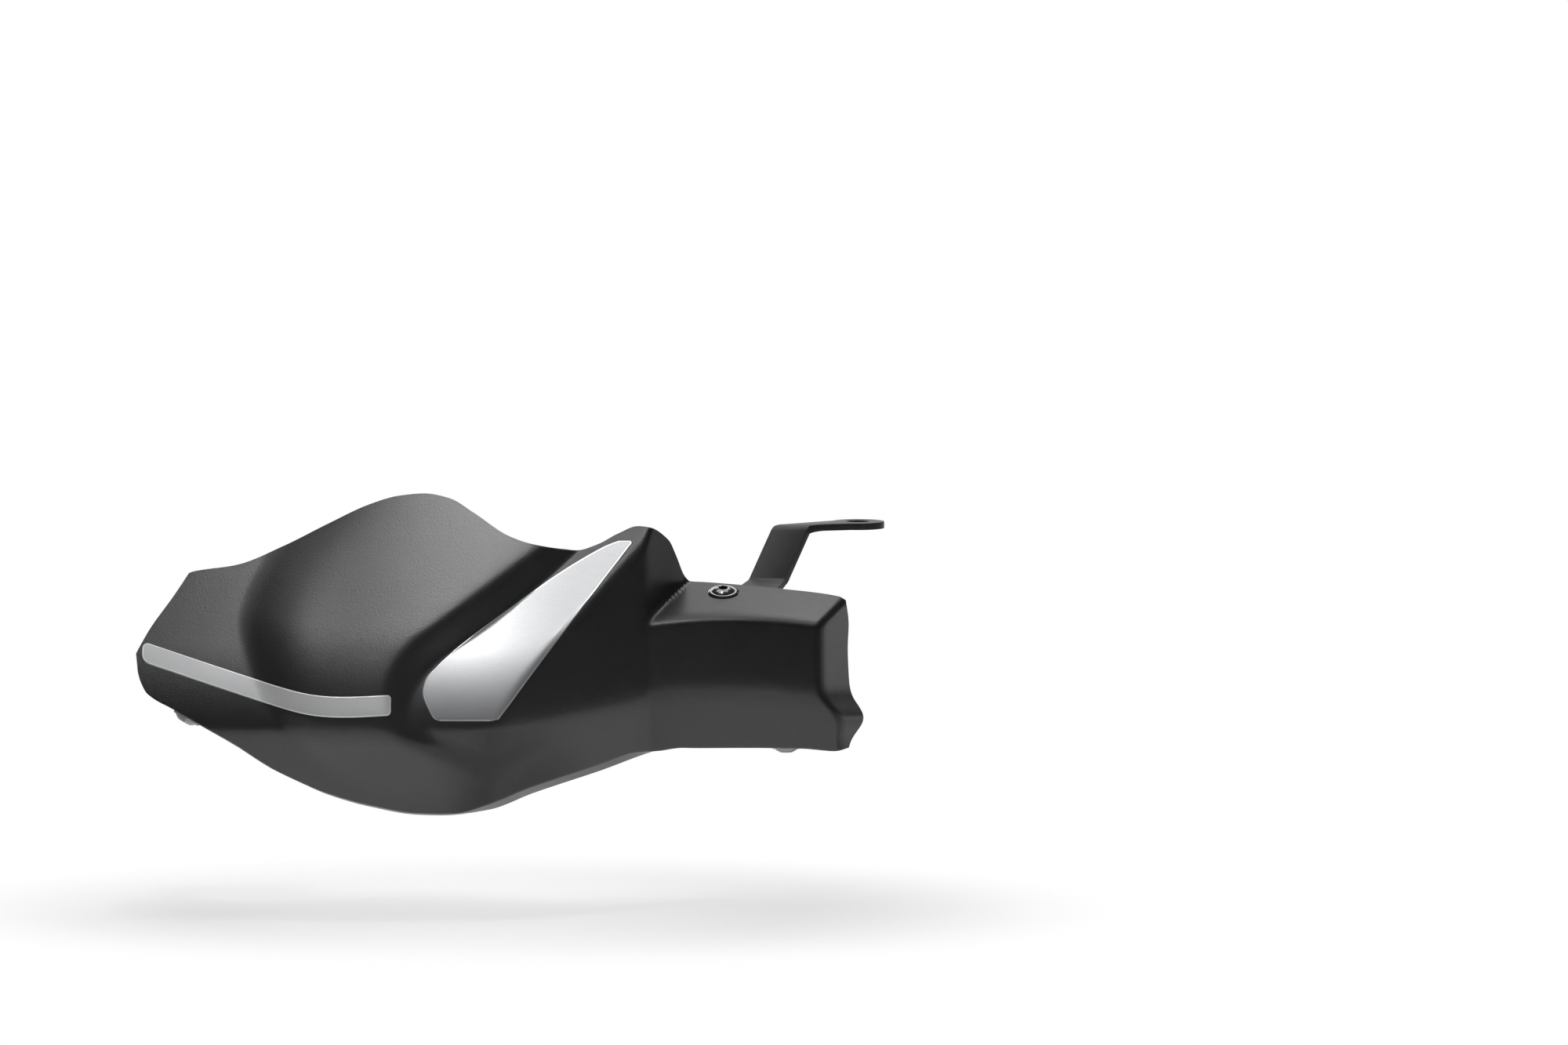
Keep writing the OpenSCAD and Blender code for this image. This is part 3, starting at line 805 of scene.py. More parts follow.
@dataclass(frozen=True)
class BlackAnodise:
    """Black anodised aluminium with fine machining marks."""

    colour: tuple[float, float, float] = (0.03, 0.03, 0.033)
    roughness: float = 0.38

    def build(self) -> bpy.types.Material:
        """Makes the material.

        Returns:
            The material.
        """
        s = Shader("black_anodise")
        marks = s.noise(0.45, 2, 0.5, (1, 0.12, 1))
        cloud = s.noise(9, 2, 0.5)
        return s.finish(
            Base_Color=s.tint(cloud, self.colour, (0.05, 0.05, 0.054)),
            Metallic=0.4,
            Roughness=marks * 0.12 + cloud * 0.06 + (self.roughness - 0.08),
            Normal=s.bump([(marks, 0.16, 0.03)]))


FINISHES = {
    Slot.SHELL: MouldedPlastic(),
    Slot.FILM: SilverFilm(),
    Slot.STEEL: PaintedSteel(),
    Slot.SCREW: PaintedSteel("gloss_black_plate", (0.016, 0.016, 0.017), roughness=0.2, peel_mm=1.4,
                             coat=1.0, coat_ior=2.2, shine=1.0),
    Slot.ZINC: ZincPlate(),
    Slot.RUBBER: BlackRubber(),
    Slot.ANODISED: BlackAnodise(),
}
MATT_FOIL = SilverFilm("matt_silver_foil", (0.64, 0.644, 0.65), (0.86, 0.865, 0.87), roughness=0.5,
                       metal=0.3)


def stand(name: str, data: bpy.types.ID) -> bpy.types.Object:
    """Puts an object for a mesh, light or camera in the scene.

    Args:
        name: The object's name.
        data: Its mesh, light or camera.

    Returns:
        The object.
    """
    thing = bpy.data.objects.new(name, data)
    bpy.context.scene.collection.objects.link(thing)
    return thing


class Workshop:
    """Makes pieces and keeps one material for each slot."""

    WELD_MM = 0.002
    FLAT_DEGREES = 0.6
    SMOOTH_DEGREES = 28

    def __init__(self) -> None:
        """Builds every finish once."""
        self.materials = {slot: finish.build() for slot, finish in FINISHES.items()}
        self.matt_foil = MATT_FOIL.build()

    def mesh(self, name: str, points: Grid, faces: Sequence[Sequence[int]]) -> bpy.types.Object:
        """An object at the origin from points in metres in the row frame.

        Args:
            name: The object's name.
            points: Its points.
            faces: Corner numbers of each face.

        Returns:
            The object.
        """
        data = bpy.data.meshes.new(name)
        data.from_pydata([tuple(p) for p in np.asarray(points, float)], [], [tuple(f) for f in faces])
        data.validate()
        return stand(name, data)

    def apply(self, thing: bpy.types.Object) -> bpy.types.Object:
        """Turns an object's modifiers into its plain mesh.

        Args:
            thing: An object with modifiers.

        Returns:
            The same object.
        """
        graph = bpy.context.evaluated_depsgraph_get()
        graph.update()
        fresh = bpy.data.meshes.new_from_object(thing.evaluated_get(graph))
        thing.modifiers.clear()
        old, thing.data = thing.data, fresh
        bpy.data.meshes.remove(old)
        return thing

    def smooth(self, thing: bpy.types.Object, degrees: float) -> None:
        """Smooth shading, with edges sharper than an angle kept.

        Args:
            thing: The object.
            degrees: The angle.
        """
        limit = math.radians(degrees)
        shape = bmesh.new()
        shape.from_mesh(thing.data)
        for face in shape.faces:
            face.smooth = True
        for edge in shape.edges:
            edge.smooth = len(edge.link_faces) == 2 and edge.calc_face_angle(0) < limit
        shape.to_mesh(thing.data)
        shape.free()

    def dress(self, thing: bpy.types.Object, slot: Slot, *nodes: str) -> bpy.types.Object:
        """Gives a piece its finish and ties it to the frame.

        Args:
            thing: The piece.
            slot: The slot its finish belongs to.
            nodes: The CAD nodes it stands for.

        Returns:
            The same piece.
        """
        thing.data.materials.clear()
        thing.data.materials.append(self.materials[slot])
        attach(thing, BODY)
        if nodes:
            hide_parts(*nodes)
        LOG.info("%s: %d faces", thing.name, len(thing.data.polygons))
        return thing

    def soften(self, node: str, name: str, slot: Slot, radius_mm: float, steps: int = 2,
               limit: float = 35) -> bpy.types.Object:
        """A copy of a CAD node with small rounded edges.

        Args:
            node: The CAD node.
            name: Name of the new piece.
            slot: The slot its finish belongs to.
            radius_mm: Width of the rounding.
            steps: Faces across it.
            limit: Edges that turn less than this many degrees stay.

        Returns:
            The new piece.
        """
        thing = stand(name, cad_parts[node].data.copy())
        weld = thing.modifiers.new("weld", "WELD")
        weld.merge_threshold = self.WELD_MM * MM
        flat = thing.modifiers.new("flat", "DECIMATE")
        flat.decimate_type = "DISSOLVE"
        flat.angle_limit = math.radians(self.FLAT_DEGREES)
        bevel = thing.modifiers.new("edge", "BEVEL")
        bevel.width = radius_mm * MM
        bevel.segments = steps
        bevel.limit_method = "ANGLE"
        bevel.angle_limit = math.radians(limit)
        bevel.use_clamp_overlap = True
        self.apply(thing)
        self.smooth(thing, self.SMOOTH_DEGREES)
        return self.dress(thing, slot, node)


def grid_faces(nc: int, nr: int, first: int = 0, flip: bool = False) -> list[tuple[int, ...]]:
    """Four-sided faces of a grid stored column by column.

    Args:
        nc: Number of columns.
        nr: Number of rows.
        first: Number of the first point.
        flip: True to turn the faces over.

    Returns:
        Corner numbers of each face.
    """
    i, r = np.meshgrid(np.arange(nc - 1), np.arange(nr - 1), indexing="ij")
    a = (first + i * nr + r).ravel()
    quads = np.stack([a, a + 1, a + nr + 1, a + nr], 1)
    return [tuple(q) for q in (quads[:, ::-1] if flip else quads)]


def closed_sheet(layers: Sequence[Grid]) -> tuple[Grid, list[tuple[int, ...]]]:
    """A closed sheet whose outer face is the first layer and inner face the last.

    Args:
        layers: Grids of points with the same rows and columns. The layers between the
            first and the last only shape the edge.

    Returns:
        Points and faces.
    """
    nc, nr = layers[0].shape[:2]
    count = nc * nr
    ring = ([(i, 0) for i in range(nc)] + [(nc - 1, r) for r in range(1, nr)]
            + [(i, nr - 1) for i in range(nc - 2, -1, -1)] + [(0, r) for r in range(nr - 2, 0, -1)])
    at = np.array([i * nr + r for i, r in ring])
    points = [layers[0].reshape(-1, 3), layers[-1].reshape(-1, 3)]
    rings = [at]
    for k, layer in enumerate(layers[1:-1]):
        rings.append(2 * count + k * len(ring) + np.arange(len(ring)))
        points.append(layer.reshape(-1, 3)[at])
    rings.append(at + count)
    faces = grid_faces(nc, nr, 0, True) + grid_faces(nc, nr, count)
    for a, b in zip(rings, rings[1:]):
        a2, b2 = np.roll(a, -1), np.roll(b, -1)
        faces += [tuple(q) for q in np.stack([a, b, b2, a2], 1)]
    return np.concatenate(points), faces


def blur(grid: Grid, axis: int, times: int) -> Grid:
    """Smooths a grid along one axis with its ends kept.

    Args:
        grid: Points by column and row.
        axis: The axis to smooth along.
        times: How often.

    Returns:
        The smoothed points.
    """
    g = np.moveaxis(grid.copy(), axis, 0)
    for _ in range(times):
        g[1:-1] = 0.25 * g[:-2] + 0.5 * g[1:-1] + 0.25 * g[2:]
    return np.moveaxis(g, 0, axis)


@dataclass
class Shell:
    """The moulded shell with its three screw seats."""

    form: GuardForm
    columns: int = 330
    fold_rows: tuple[float, ...] = (0, 0.4, 0.8, 1.12, 1.36, 1.55, 1.7, 1.8, 1.87, 1.92, 1.96, 1.985,
                                    2.015, 2.05, 2.1, 2.17, 2.27, 2.4, 2.6, 2.8)
    row_step: float = 0.25
    fold_reach: float = 0.3
    fold_blurs: int = 10
    normal_blurs: tuple[int, int] = (14, 3)
    edge_round: float = 0.45
    edge_steps: tuple[float, ...] = (0.07, 0.2, 0.5, 0.8, 0.93)
    pad_d: float = 19.0
    counterbore_d: float = 14.6
    hole_d: float = 8.8
    grip: float = 3.8

    def grid(self) -> Grid:
        """Outer face points with the lower fold rounded.

        Returns:
            Points by column and row.
        """
        r = np.concatenate([self.fold_rows, np.arange(3, self.form.rows + 1e-6, self.row_step)])
        u = np.linspace(0, 1, self.columns + 1)
        xc, rr = np.meshgrid(curve(self.form.COL_AT, u), r, indexing="ij")
        points = self.form.outer(xc, rr)
        soft = blur(points, 1, self.fold_blurs)
        near = np.exp(-((r - self.form.FOLD_ROW) / self.fold_reach) ** 2)[None, :, None]
        return lerp(points, soft, near)

    def layers(self) -> list[Grid]:
        """Outer face, the rounded edge and the inner face.

        Returns:
            Grids of points, from the outer face to the inner one.
        """
        outer = self.grid()
        du, dr = np.gradient(outer, axis=0), np.gradient(outer, axis=1)
        normal = unit(np.cross(dr, du))
        along_rows, along_columns = self.normal_blurs
        normal = unit(blur(blur(normal, 1, along_rows), 0, along_columns))
        inner = outer + self.form.wall * normal
        away = np.zeros_like(outer)
        away[:, 0] -= unit(dr[:, 0])
        away[:, -1] += unit(dr[:, -1])
        away[0] -= unit(du[0])
        away[-1] += unit(du[-1])
        size = np.linalg.norm(away, axis=-1, keepdims=True)
        away = np.where(size > 0, away / np.maximum(size, 1e-9), 0)
        middle = [lerp(outer, inner, t) + self.edge_round * math.sin(math.pi * t) ** 0.6 * away
                  for t in self.edge_steps]
        return [outer, *middle, inner]

    def cylinder(self, shop: Workshop, place: Seat, diameter: float, low: float,
                 high: float) -> bpy.types.Object:
        """A round bar on a seat's axis.

        Args:
            shop: Where pieces are made.
            place: The seat.
            diameter: The bar's diameter.
            low: Where it starts on the axis.
            high: Where it ends.

        Returns:
            The bar.
        """
        turns = np.linspace(0, 2 * math.pi, 96, endpoint=False)
        ring = np.stack([np.cos(turns), np.sin(turns)], 1) * diameter / 2
        points = [(x, y, z) for z in (low, high) for x, y in ring]
        n = len(ring)
        faces = [tuple(range(n))[::-1], tuple(range(n, 2 * n))]
        faces += [(i, (i + 1) % n, n + (i + 1) % n, n + i) for i in range(n)]
        bar = shop.mesh("cutter", np.array(points), faces)
        bar.data.transform(self.form.seat_matrix(place))
        return bar

    def combine(self, shop: Workshop, thing: bpy.types.Object, tool: bpy.types.Object,
                operation: str) -> None:
        """Joins or cuts a bar.

        Args:
            shop: Where pieces are made.
            thing: The shell.
            tool: The bar, which is used up.
            operation: The boolean's operation.
        """
        modifier = thing.modifiers.new("seat", "BOOLEAN")
        modifier.operation = operation
        modifier.object = tool
        modifier.solver = "EXACT"
        shop.apply(thing)
        bpy.data.objects.remove(tool)

    def build(self, shop: Workshop) -> bpy.types.Object:
        """Makes the shell.

        Args:
            shop: Where pieces are made.

        Returns:
            The shell.
        """
        points, faces = closed_sheet(self.layers())
        thing = shop.mesh("shell_moulding", points, faces)
        thing.data.transform(self.form.matrix())
        bosses = [(place, self.pad_d, -self.grip, -1, "UNION") for place in Seat]
        cuts = [(place, *cut, "DIFFERENCE") for place in Seat
                for cut in ((self.counterbore_d, 0, 8), (self.hole_d, -self.grip - 6, 1))]
        for place, diameter, low, high, operation in bosses + cuts:
            self.combine(shop, thing, self.cylinder(shop, place, diameter, low, high), operation)
        shop.smooth(thing, 40)
        return shop.dress(thing, Slot.SHELL, "guard_shell")


@dataclass
class Films:
    """The two silver films on the shell's outer face."""

    form: GuardForm
    lift: float = 0.06
    thick: float = 0.32
    strip_w: float = 9.2
    strip_ends: tuple[float, float] = (-160.0, -48.6)
    strip_rise: float = 0.3
    strip_cells: tuple[int, int] = (520, 36)
    pillar_cells: tuple[int, int] = (260, 120)
    corner: float = 0.12
    outer_corner: float = 3.2
    inner_corner: float = 1.6
    LEFT = ((-24, -26.5), (-23.2, -29.1), (-20.4, -31.2), (-11.2, -34.7), (-6.3, -33.7), (0.7, -28.1),
            (26.3, 3.9), (53.3, 45.3), (56.2, 52.5))
    RIGHT = ((-24, -4.5), (-23.5, -1), (-21.8, 0.4), (-4.2, 13.3), (53.5, 56.9), (55.1, 58.1),
             (56.2, 57.3))

    def strip_point(self, u: Grid, t: Grid) -> tuple[Grid, Grid]:
        """Front-view place on the strip, with round corners at its ends.

        Args:
            u: Shares along the strip.
            t: Shares across it.

        Returns:
            Places along and heights.
        """
        left, right = self.strip_ends
        x = lerp(left, right, 0.5 - 0.5 * np.cos(np.pi * u))
        width = self.strip_w
        for gap, radius in ((x - left, self.outer_corner), (right - x, self.inner_corner)):
            rest = np.maximum(radius - gap, 0)
            width = width - 2 * (radius - np.sqrt(np.maximum(radius ** 2 - rest ** 2, 0)))
        centre = self.form.strip_crease(x) + self.strip_rise + self.strip_w / 2
        return x, centre + (t - 0.5) * width

    def pillar_point(self, u: Grid, t: Grid) -> tuple[Grid, Grid]:
        """Front-view place on the pillar's long triangle."""
        v = lerp(self.LEFT[0][0], self.LEFT[-1][0], (1 - u) ** 0.85)
        return lerp(curve(self.LEFT, v), curve(self.RIGHT, v), t), v

    def sheet(self, shop: Workshop, name: str, node: str, foil: bpy.types.Material,
              size: tuple[int, int], place: Place) -> None:
        """One film with a rounded edge.

        Args:
            shop: Where pieces are made.
            name: The piece's name.
            node: The CAD node it stands for.
            foil: Its finish.
            size: Cells along and across.
            place: Turns grid shares into a front-view place.
        """
        u, t = np.meshgrid(*(np.linspace(0, 1, n + 1) for n in size), indexing="ij")
        x, v = place(u, t)
        base = np.stack([x, self.form.depth(x, v), v], -1)
        out = self.form.face_out(x, v)
        ring = self.edge_distance(base)
        rise = self.lift + self.thick * np.sqrt(np.clip(ring / self.corner, 0.05, 1))
        top = base + out * rise[..., None]
        points, faces = closed_sheet([top, base + out * self.lift * 0.5])
        film = shop.mesh(name, points, faces)
        film.data.transform(self.form.matrix())
        mark = film.data.attributes.new("from_edge", "FLOAT", "POINT")
        mark.data.foreach_set("value", np.concatenate([ring.ravel(), ring.ravel()]))
        shop.smooth(film, 50)
        shop.dress(film, Slot.FILM, node)
        film.data.materials[0] = foil

    @staticmethod
    def edge_distance(base: Grid) -> Grid:
        """Distance of each grid point from the film's border, in millimetres.

        Args:
            base: The film's points by column and row.

        Returns:
            Distances.
        """
        border = np.concatenate([base[0], base[-1], base[:, 0], base[:, -1]])
        flat = base.reshape(-1, 3)
        best = np.full(len(flat), 1e9)
        for chunk in np.array_split(np.arange(len(border) - 1), 40):
            gap = np.linalg.norm(flat[:, None] - border[None, chunk], axis=-1).min(1)
            best = np.minimum(best, gap)
        return best.reshape(base.shape[:2])

    def build(self, shop: Workshop) -> None:
        """Makes both films.

        Args:
            shop: Where pieces are made.
        """
        self.sheet(shop, "strip_foil", "edge_strip_film", shop.matt_foil, self.strip_cells,
                   self.strip_point)
        self.sheet(shop, "pillar_foil", "pillar_film", shop.materials[Slot.FILM], self.pillar_cells,
                   self.pillar_point)


class Repeat:
    """A Geometry Nodes tree that sets one part at every marked point."""

    def __init__(self) -> None:
        """Builds the tree with its named inputs."""
        self.tree = bpy.data.node_groups.new("repeat_part", "GeometryNodeTree")
        for name, way, kind in (("Seats", "INPUT", "Geometry"), ("Part", "INPUT", "Object"),
                                ("Size", "INPUT", "Float"), ("Finish", "INPUT", "Material"),
                                ("Pieces", "OUTPUT", "Geometry")):
            self.tree.interface.new_socket(name, in_out=way, socket_type="NodeSocket" + kind)
        new, link = self.tree.nodes.new, self.tree.links.new
        source, sink = new("NodeGroupInput"), new("NodeGroupOutput")
        part = new("GeometryNodeObjectInfo")
        turn = new("GeometryNodeInputNamedAttribute")
        turn.data_type = "FLOAT_VECTOR"
        turn.inputs["Name"].default_value = "turn"
        spin = new("FunctionNodeEulerToRotation")
        put = new("GeometryNodeInstanceOnPoints")
        real = new("GeometryNodeRealizeInstances")
        paint = new("GeometryNodeSetMaterial")
        link(source.outputs["Seats"], put.inputs["Points"])
        link(source.outputs["Part"], part.inputs["Object"])
        link(part.outputs["Geometry"], put.inputs["Instance"])
        link(turn.outputs[0], spin.inputs[0])
        link(spin.outputs[0], put.inputs["Rotation"])
        link(source.outputs["Size"], put.inputs["Scale"])
        link(put.outputs[0], real.inputs[0])
        link(real.outputs[0], paint.inputs[0])
        link(source.outputs["Finish"], paint.inputs["Material"])
        link(paint.outputs[0], sink.inputs["Pieces"])

    def make(self, shop: Workshop, name: str, part: bpy.types.Object, places: Sequence[Matrix],
             slot: Slot, *nodes: str) -> None:
        """Sets a part at each place as one plain mesh, and ties that to the frame.

        Args:
            shop: Where pieces are made.
            name: The piece's name.
            part: The part in metres about its own origin. It is used up.
            places: Frames in the row frame.
            slot: The slot that the finish of every copy belongs to.
            nodes: The CAD nodes that the copies stand for.
        """
        thing = shop.mesh(name, np.array([m.to_translation() for m in places]), [])
        mark = thing.data.attributes.new("turn", "FLOAT_VECTOR", "POINT")
        mark.data.foreach_set("vector", [a for m in places for a in m.to_euler()])
        modifier = thing.modifiers.new("repeat", "NODES")
        modifier.node_group = self.tree
        given = {"Part": part, "Size": 1.0, "Finish": shop.materials[slot]}
        for item in self.tree.interface.items_tree:
            if item.in_out == "INPUT" and item.name in given:
                modifier[item.identifier] = given[item.name]
        shop.apply(thing)
        bpy.data.objects.remove(part)
        shop.dress(thing, slot, *nodes)


@dataclass
class Turned:
    """Builds turned parts about the Z axis, in millimetres."""

    sides: int = 72

    def lathe(self, shop: Workshop, name: str, profile: Sequence[tuple[float, float]],
              shape: Cut | None = None) -> bpy.types.Object:
        """Turns a profile round Z.

        Args:
            shop: Where pieces are made.
            name: The part's name.
            profile: Radius and height, going up the outside. It is closed with caps
                where it ends on the axis, and into a ring otherwise.
            shape: Changes the radius from the radius, height and angle.

        Returns:
            The part in metres about its own origin.
        """
        p = np.array(profile, float)
        closed = p[0, 0] > 1e-6
        turns = np.linspace(0, 2 * math.pi, self.sides, endpoint=False)
        r, turn = np.meshgrid(p[:, 0], turns, indexing="ij")
        z = np.repeat(p[:, 1:], self.sides, 1)
        if shape is not None:
            r = shape(r, z, turn)
        points = np.stack([r * np.cos(turn), r * np.sin(turn), z], -1)
        if not closed:
            points = points[1:-1]
        rows = len(points)
        n = self.sides
        k = np.arange(n)
        faces = []
        for row in range(rows if closed else rows - 1):
            here, above = row * n, ((row + 1) % rows) * n
            quads = np.stack([here + k, here + (k + 1) % n, above + (k + 1) % n, above + k], 1)
            faces += [tuple(q) for q in quads]
        flat = points.reshape(-1, 3)
        if not closed:
            flat = np.concatenate([flat, [[0, 0, p[0, 1]], [0, 0, p[-1, 1]]]])
            low, high = len(flat) - 2, len(flat) - 1
            faces += [(low, (i + 1) % n, i) for i in range(n)]
            top = (rows - 1) * n
            faces += [(high, top + i, top + (i + 1) % n) for i in range(n)]
        part = shop.mesh(name, flat * MM, faces)
        shop.smooth(part, 32)
        return part

    def hexagon(self, width: float, corner: float) -> Cut:
        """A shape that cuts six flats into every radius above half the width.

        Args:
            width: Distance across the flats.
            corner: Greatest radius.

        Returns:
            The shape.
        """
        def shape(r: Grid, z: Grid, turn: Grid) -> Grid:
            """Radius cut by the flats, with the corners turned off."""
            wedge = np.mod(turn, math.pi / 3) - math.pi / 6
            return np.minimum(r, np.minimum(width / 2 / np.cos(wedge), corner))
        return shape

    def thread(self, radius: float, pitch: float, low: float, high: float) -> Cut:
        """A shape that winds a thread round the part of the shank between two heights.

        Args:
            radius: Outer radius of the thread.
            pitch: Height of one turn.
            low: Where it starts.
            high: Where it ends.

        Returns:
            The shape.
        """
        def shape(r: Grid, z: Grid, turn: Grid) -> Grid:
            """Radius with the thread's teeth.

            Args:
                r: Radii.
                z: Heights.
                turn: Angles round the axis.

            Returns:
                The new radii.
            """
            tooth = np.abs(np.mod(z / pitch - turn / (2 * math.pi), 1) - 0.5) * 2
            fade = np.clip((z - low) / pitch, 0, 1) * np.clip((high - z) / pitch, 0, 1)
            depth = 0.6 * pitch * fade * np.clip(tooth * 1.25 - 0.12, 0, 1)
            return np.where((z > low) & (z < high) & (r > radius - 0.3), r - depth, r)
        return shape


@dataclass
class ShellFixings:
    """Screws, sleeves, pads, washers and nuts at the shell's seats."""

    form: GuardForm
    turned: Turned = field(default_factory=Turned)
    screw_d: float = 6.0
    pitch: float = 1.0
    screw_over: float = 1.5
    hole_gap: float = 0.4
    flange_d: float = 13.6
    flange_h: float = 1.2
    dome_h: float = 2.1
    socket_w: float = 4.0
    socket_deep: float = 2.2
    grip: float = 3.8
    sleeve_wall: float = 1.0
    pad_d: float = 18.0
    pad_t: float = 1.5
    strap_t: float = 3.0
    washer_d: float = 12.5
    washer_t: float = 1.6
    nut_h: float = 6.0
    nut_w: float = 10.0
    outer_shank: float = 18.0

    def screw(self, shop: Workshop, under: float) -> bpy.types.Object:
        """A flanged button-head screw with a hexagon socket and a wound thread.

        Args:
            shop: Where pieces are made.
            under: Length of the shank.

        Returns:
            The screw about its own origin.
        """
        r, head = self.screw_d / 2, self.flange_d / 2
        rim = 0.6 * self.flange_h
        dome_r = head - 1.5
        ball = (dome_r ** 2 + self.dome_h ** 2) / (2 * self.dome_h)
        top = self.flange_h + self.dome_h
        profile = [(0, -under), (r - 0.7, -under), (r, -under + 0.7)]
        profile += [(r, z) for z in np.arange(-under + 0.8, -0.3, self.pitch / 8)]
        profile += [(r, 0), (head - 0.15, 0), (head, 0.15), (head, rim - 0.1), (head - 0.12, rim + 0.05),
                    (head - 0.7, self.flange_h), (dome_r + 0.35, self.flange_h + 0.02)]
        for x in np.linspace(dome_r, 2.75, 14):
            profile.append((x, top - ball + math.sqrt(ball ** 2 - x ** 2)))
        mouth = self.socket_w / 2 / math.cos(math.pi / 6)
        profile += [(mouth + 0.22, profile[-1][1] + 0.06), (mouth, profile[-1][1] - 0.1)]
        profile += [(mouth, top - self.socket_deep + 0.1), (0, top - self.socket_deep)]
        cut = self.turned.thread(r, self.pitch, -under + 0.4, -0.6)
        flats = self.turned.hexagon(self.socket_w, mouth)

        def shape(rr: Grid, z: Grid, turn: Grid) -> Grid:
            """Thread on the shank and flats in the socket."""
            socket = (rr <= mouth + 1e-6) & (z > top - self.socket_deep - 0.05)
            return np.where(socket, flats(rr, z, turn), cut(rr, z, turn))

        return self.turned.lathe(shop, "screw", profile, shape)

    def ring(self, shop: Workshop, name: str, outside: float, inside: float, low: float, thick: float,
             soft: float) -> bpy.types.Object:
        """A ring with rounded edges.

        Args:
            shop: Where pieces are made.
            name: The ring's name.
            outside: Outer diameter.
            inside: Inner diameter.
            low: Height of its lower face.
            thick: Its thickness.
            soft: Width of its rounded edges.

        Returns:
            The ring about its own origin.
        """
        bore, rim, high, nip = inside / 2, outside / 2, low + thick, 0.3 * soft
        profile = [(bore + soft, low), (rim - soft, low), (rim - nip, low + nip), (rim, low + soft),
                   (rim, high - soft), (rim - nip, high - nip), (rim - soft, high), (bore + soft, high),
                   (bore + nip, high - nip), (bore, high - soft), (bore, low + soft),
                   (bore + nip, low + nip)]
        return self.turned.lathe(shop, name, profile)

    def nut(self, shop: Workshop, low: float) -> bpy.types.Object:
        """A lock nut: chamfered hexagon with a round collar.

        Args:
            shop: Where pieces are made.
            low: Height of its lower face.

        Returns:
            The nut about its own origin.
        """
        w, hexa, high = self.nut_w, 0.72 * self.nut_h, low + self.nut_h
        corner = w / 2 / math.cos(math.pi / 6)
        bore = self.screw_d / 2 + 0.05
        collar = (w - 0.8) / 2
        profile = [(bore + 0.4, low), (w / 2 - 0.1, low), (corner - 0.1, low + 0.45),
                   (corner, low + 0.7), (corner, low + hexa - 0.5), (corner - 0.2, low + hexa - 0.2),
                   (w / 2 - 0.1, low + hexa), (collar, low + hexa + 0.05), (collar, high - 0.9),
                   (collar - 0.3, high - 0.25), (collar - 0.9, high), (bore + 0.5, high),
                   (bore, high - 0.4), (bore, low + 0.4)]
        return self.turned.lathe(shop, "nut", profile, self.turned.hexagon(w, corner))

    def build(self, shop: Workshop, repeat: Repeat) -> None:
        """Sets every fixing at its seat.

        Args:
            shop: Where pieces are made.
            repeat: Sets a part at many places.
        """
        every, pair, last = tuple(Seat), (Seat.TOP, Seat.LOWER), (Seat.OUTER,)
        pad_low = -self.grip - self.pad_t
        washer_low = pad_low - self.strap_t - self.washer_t
        nut_low = washer_low - self.nut_h
        hole = self.screw_d + self.hole_gap
        sleeve = hole + 2 * self.sleeve_wall
        rows = (
            ("strap_screws", self.screw(shop, self.screw_over - nut_low), pair, Slot.SCREW, "screw"),
            ("arm_screw", self.screw(shop, self.outer_shank), last, Slot.SCREW, "screw"),
            ("sleeves", self.ring(shop, "sleeve", sleeve, hole, pad_low, -pad_low, 0.15), every,
             Slot.ZINC, "sleeve"),
            ("pads", self.ring(shop, "pad", self.pad_d, sleeve + self.hole_gap, pad_low, self.pad_t,
                               0.35), every, Slot.RUBBER, "pad"),
            ("washers", self.ring(shop, "washer", self.washer_d, hole, washer_low, self.washer_t, 0.25),
             pair, Slot.ZINC, "washer"),
            ("lock_nuts", self.nut(shop, nut_low), pair, Slot.ZINC, "nut"),
        )
        for name, part, seats, slot, kind in rows:
            places = [self.form.seat_matrix(seat) for seat in seats]
            repeat.make(shop, name, part, places, slot, *(f"{seat.value}_{kind}" for seat in seats))


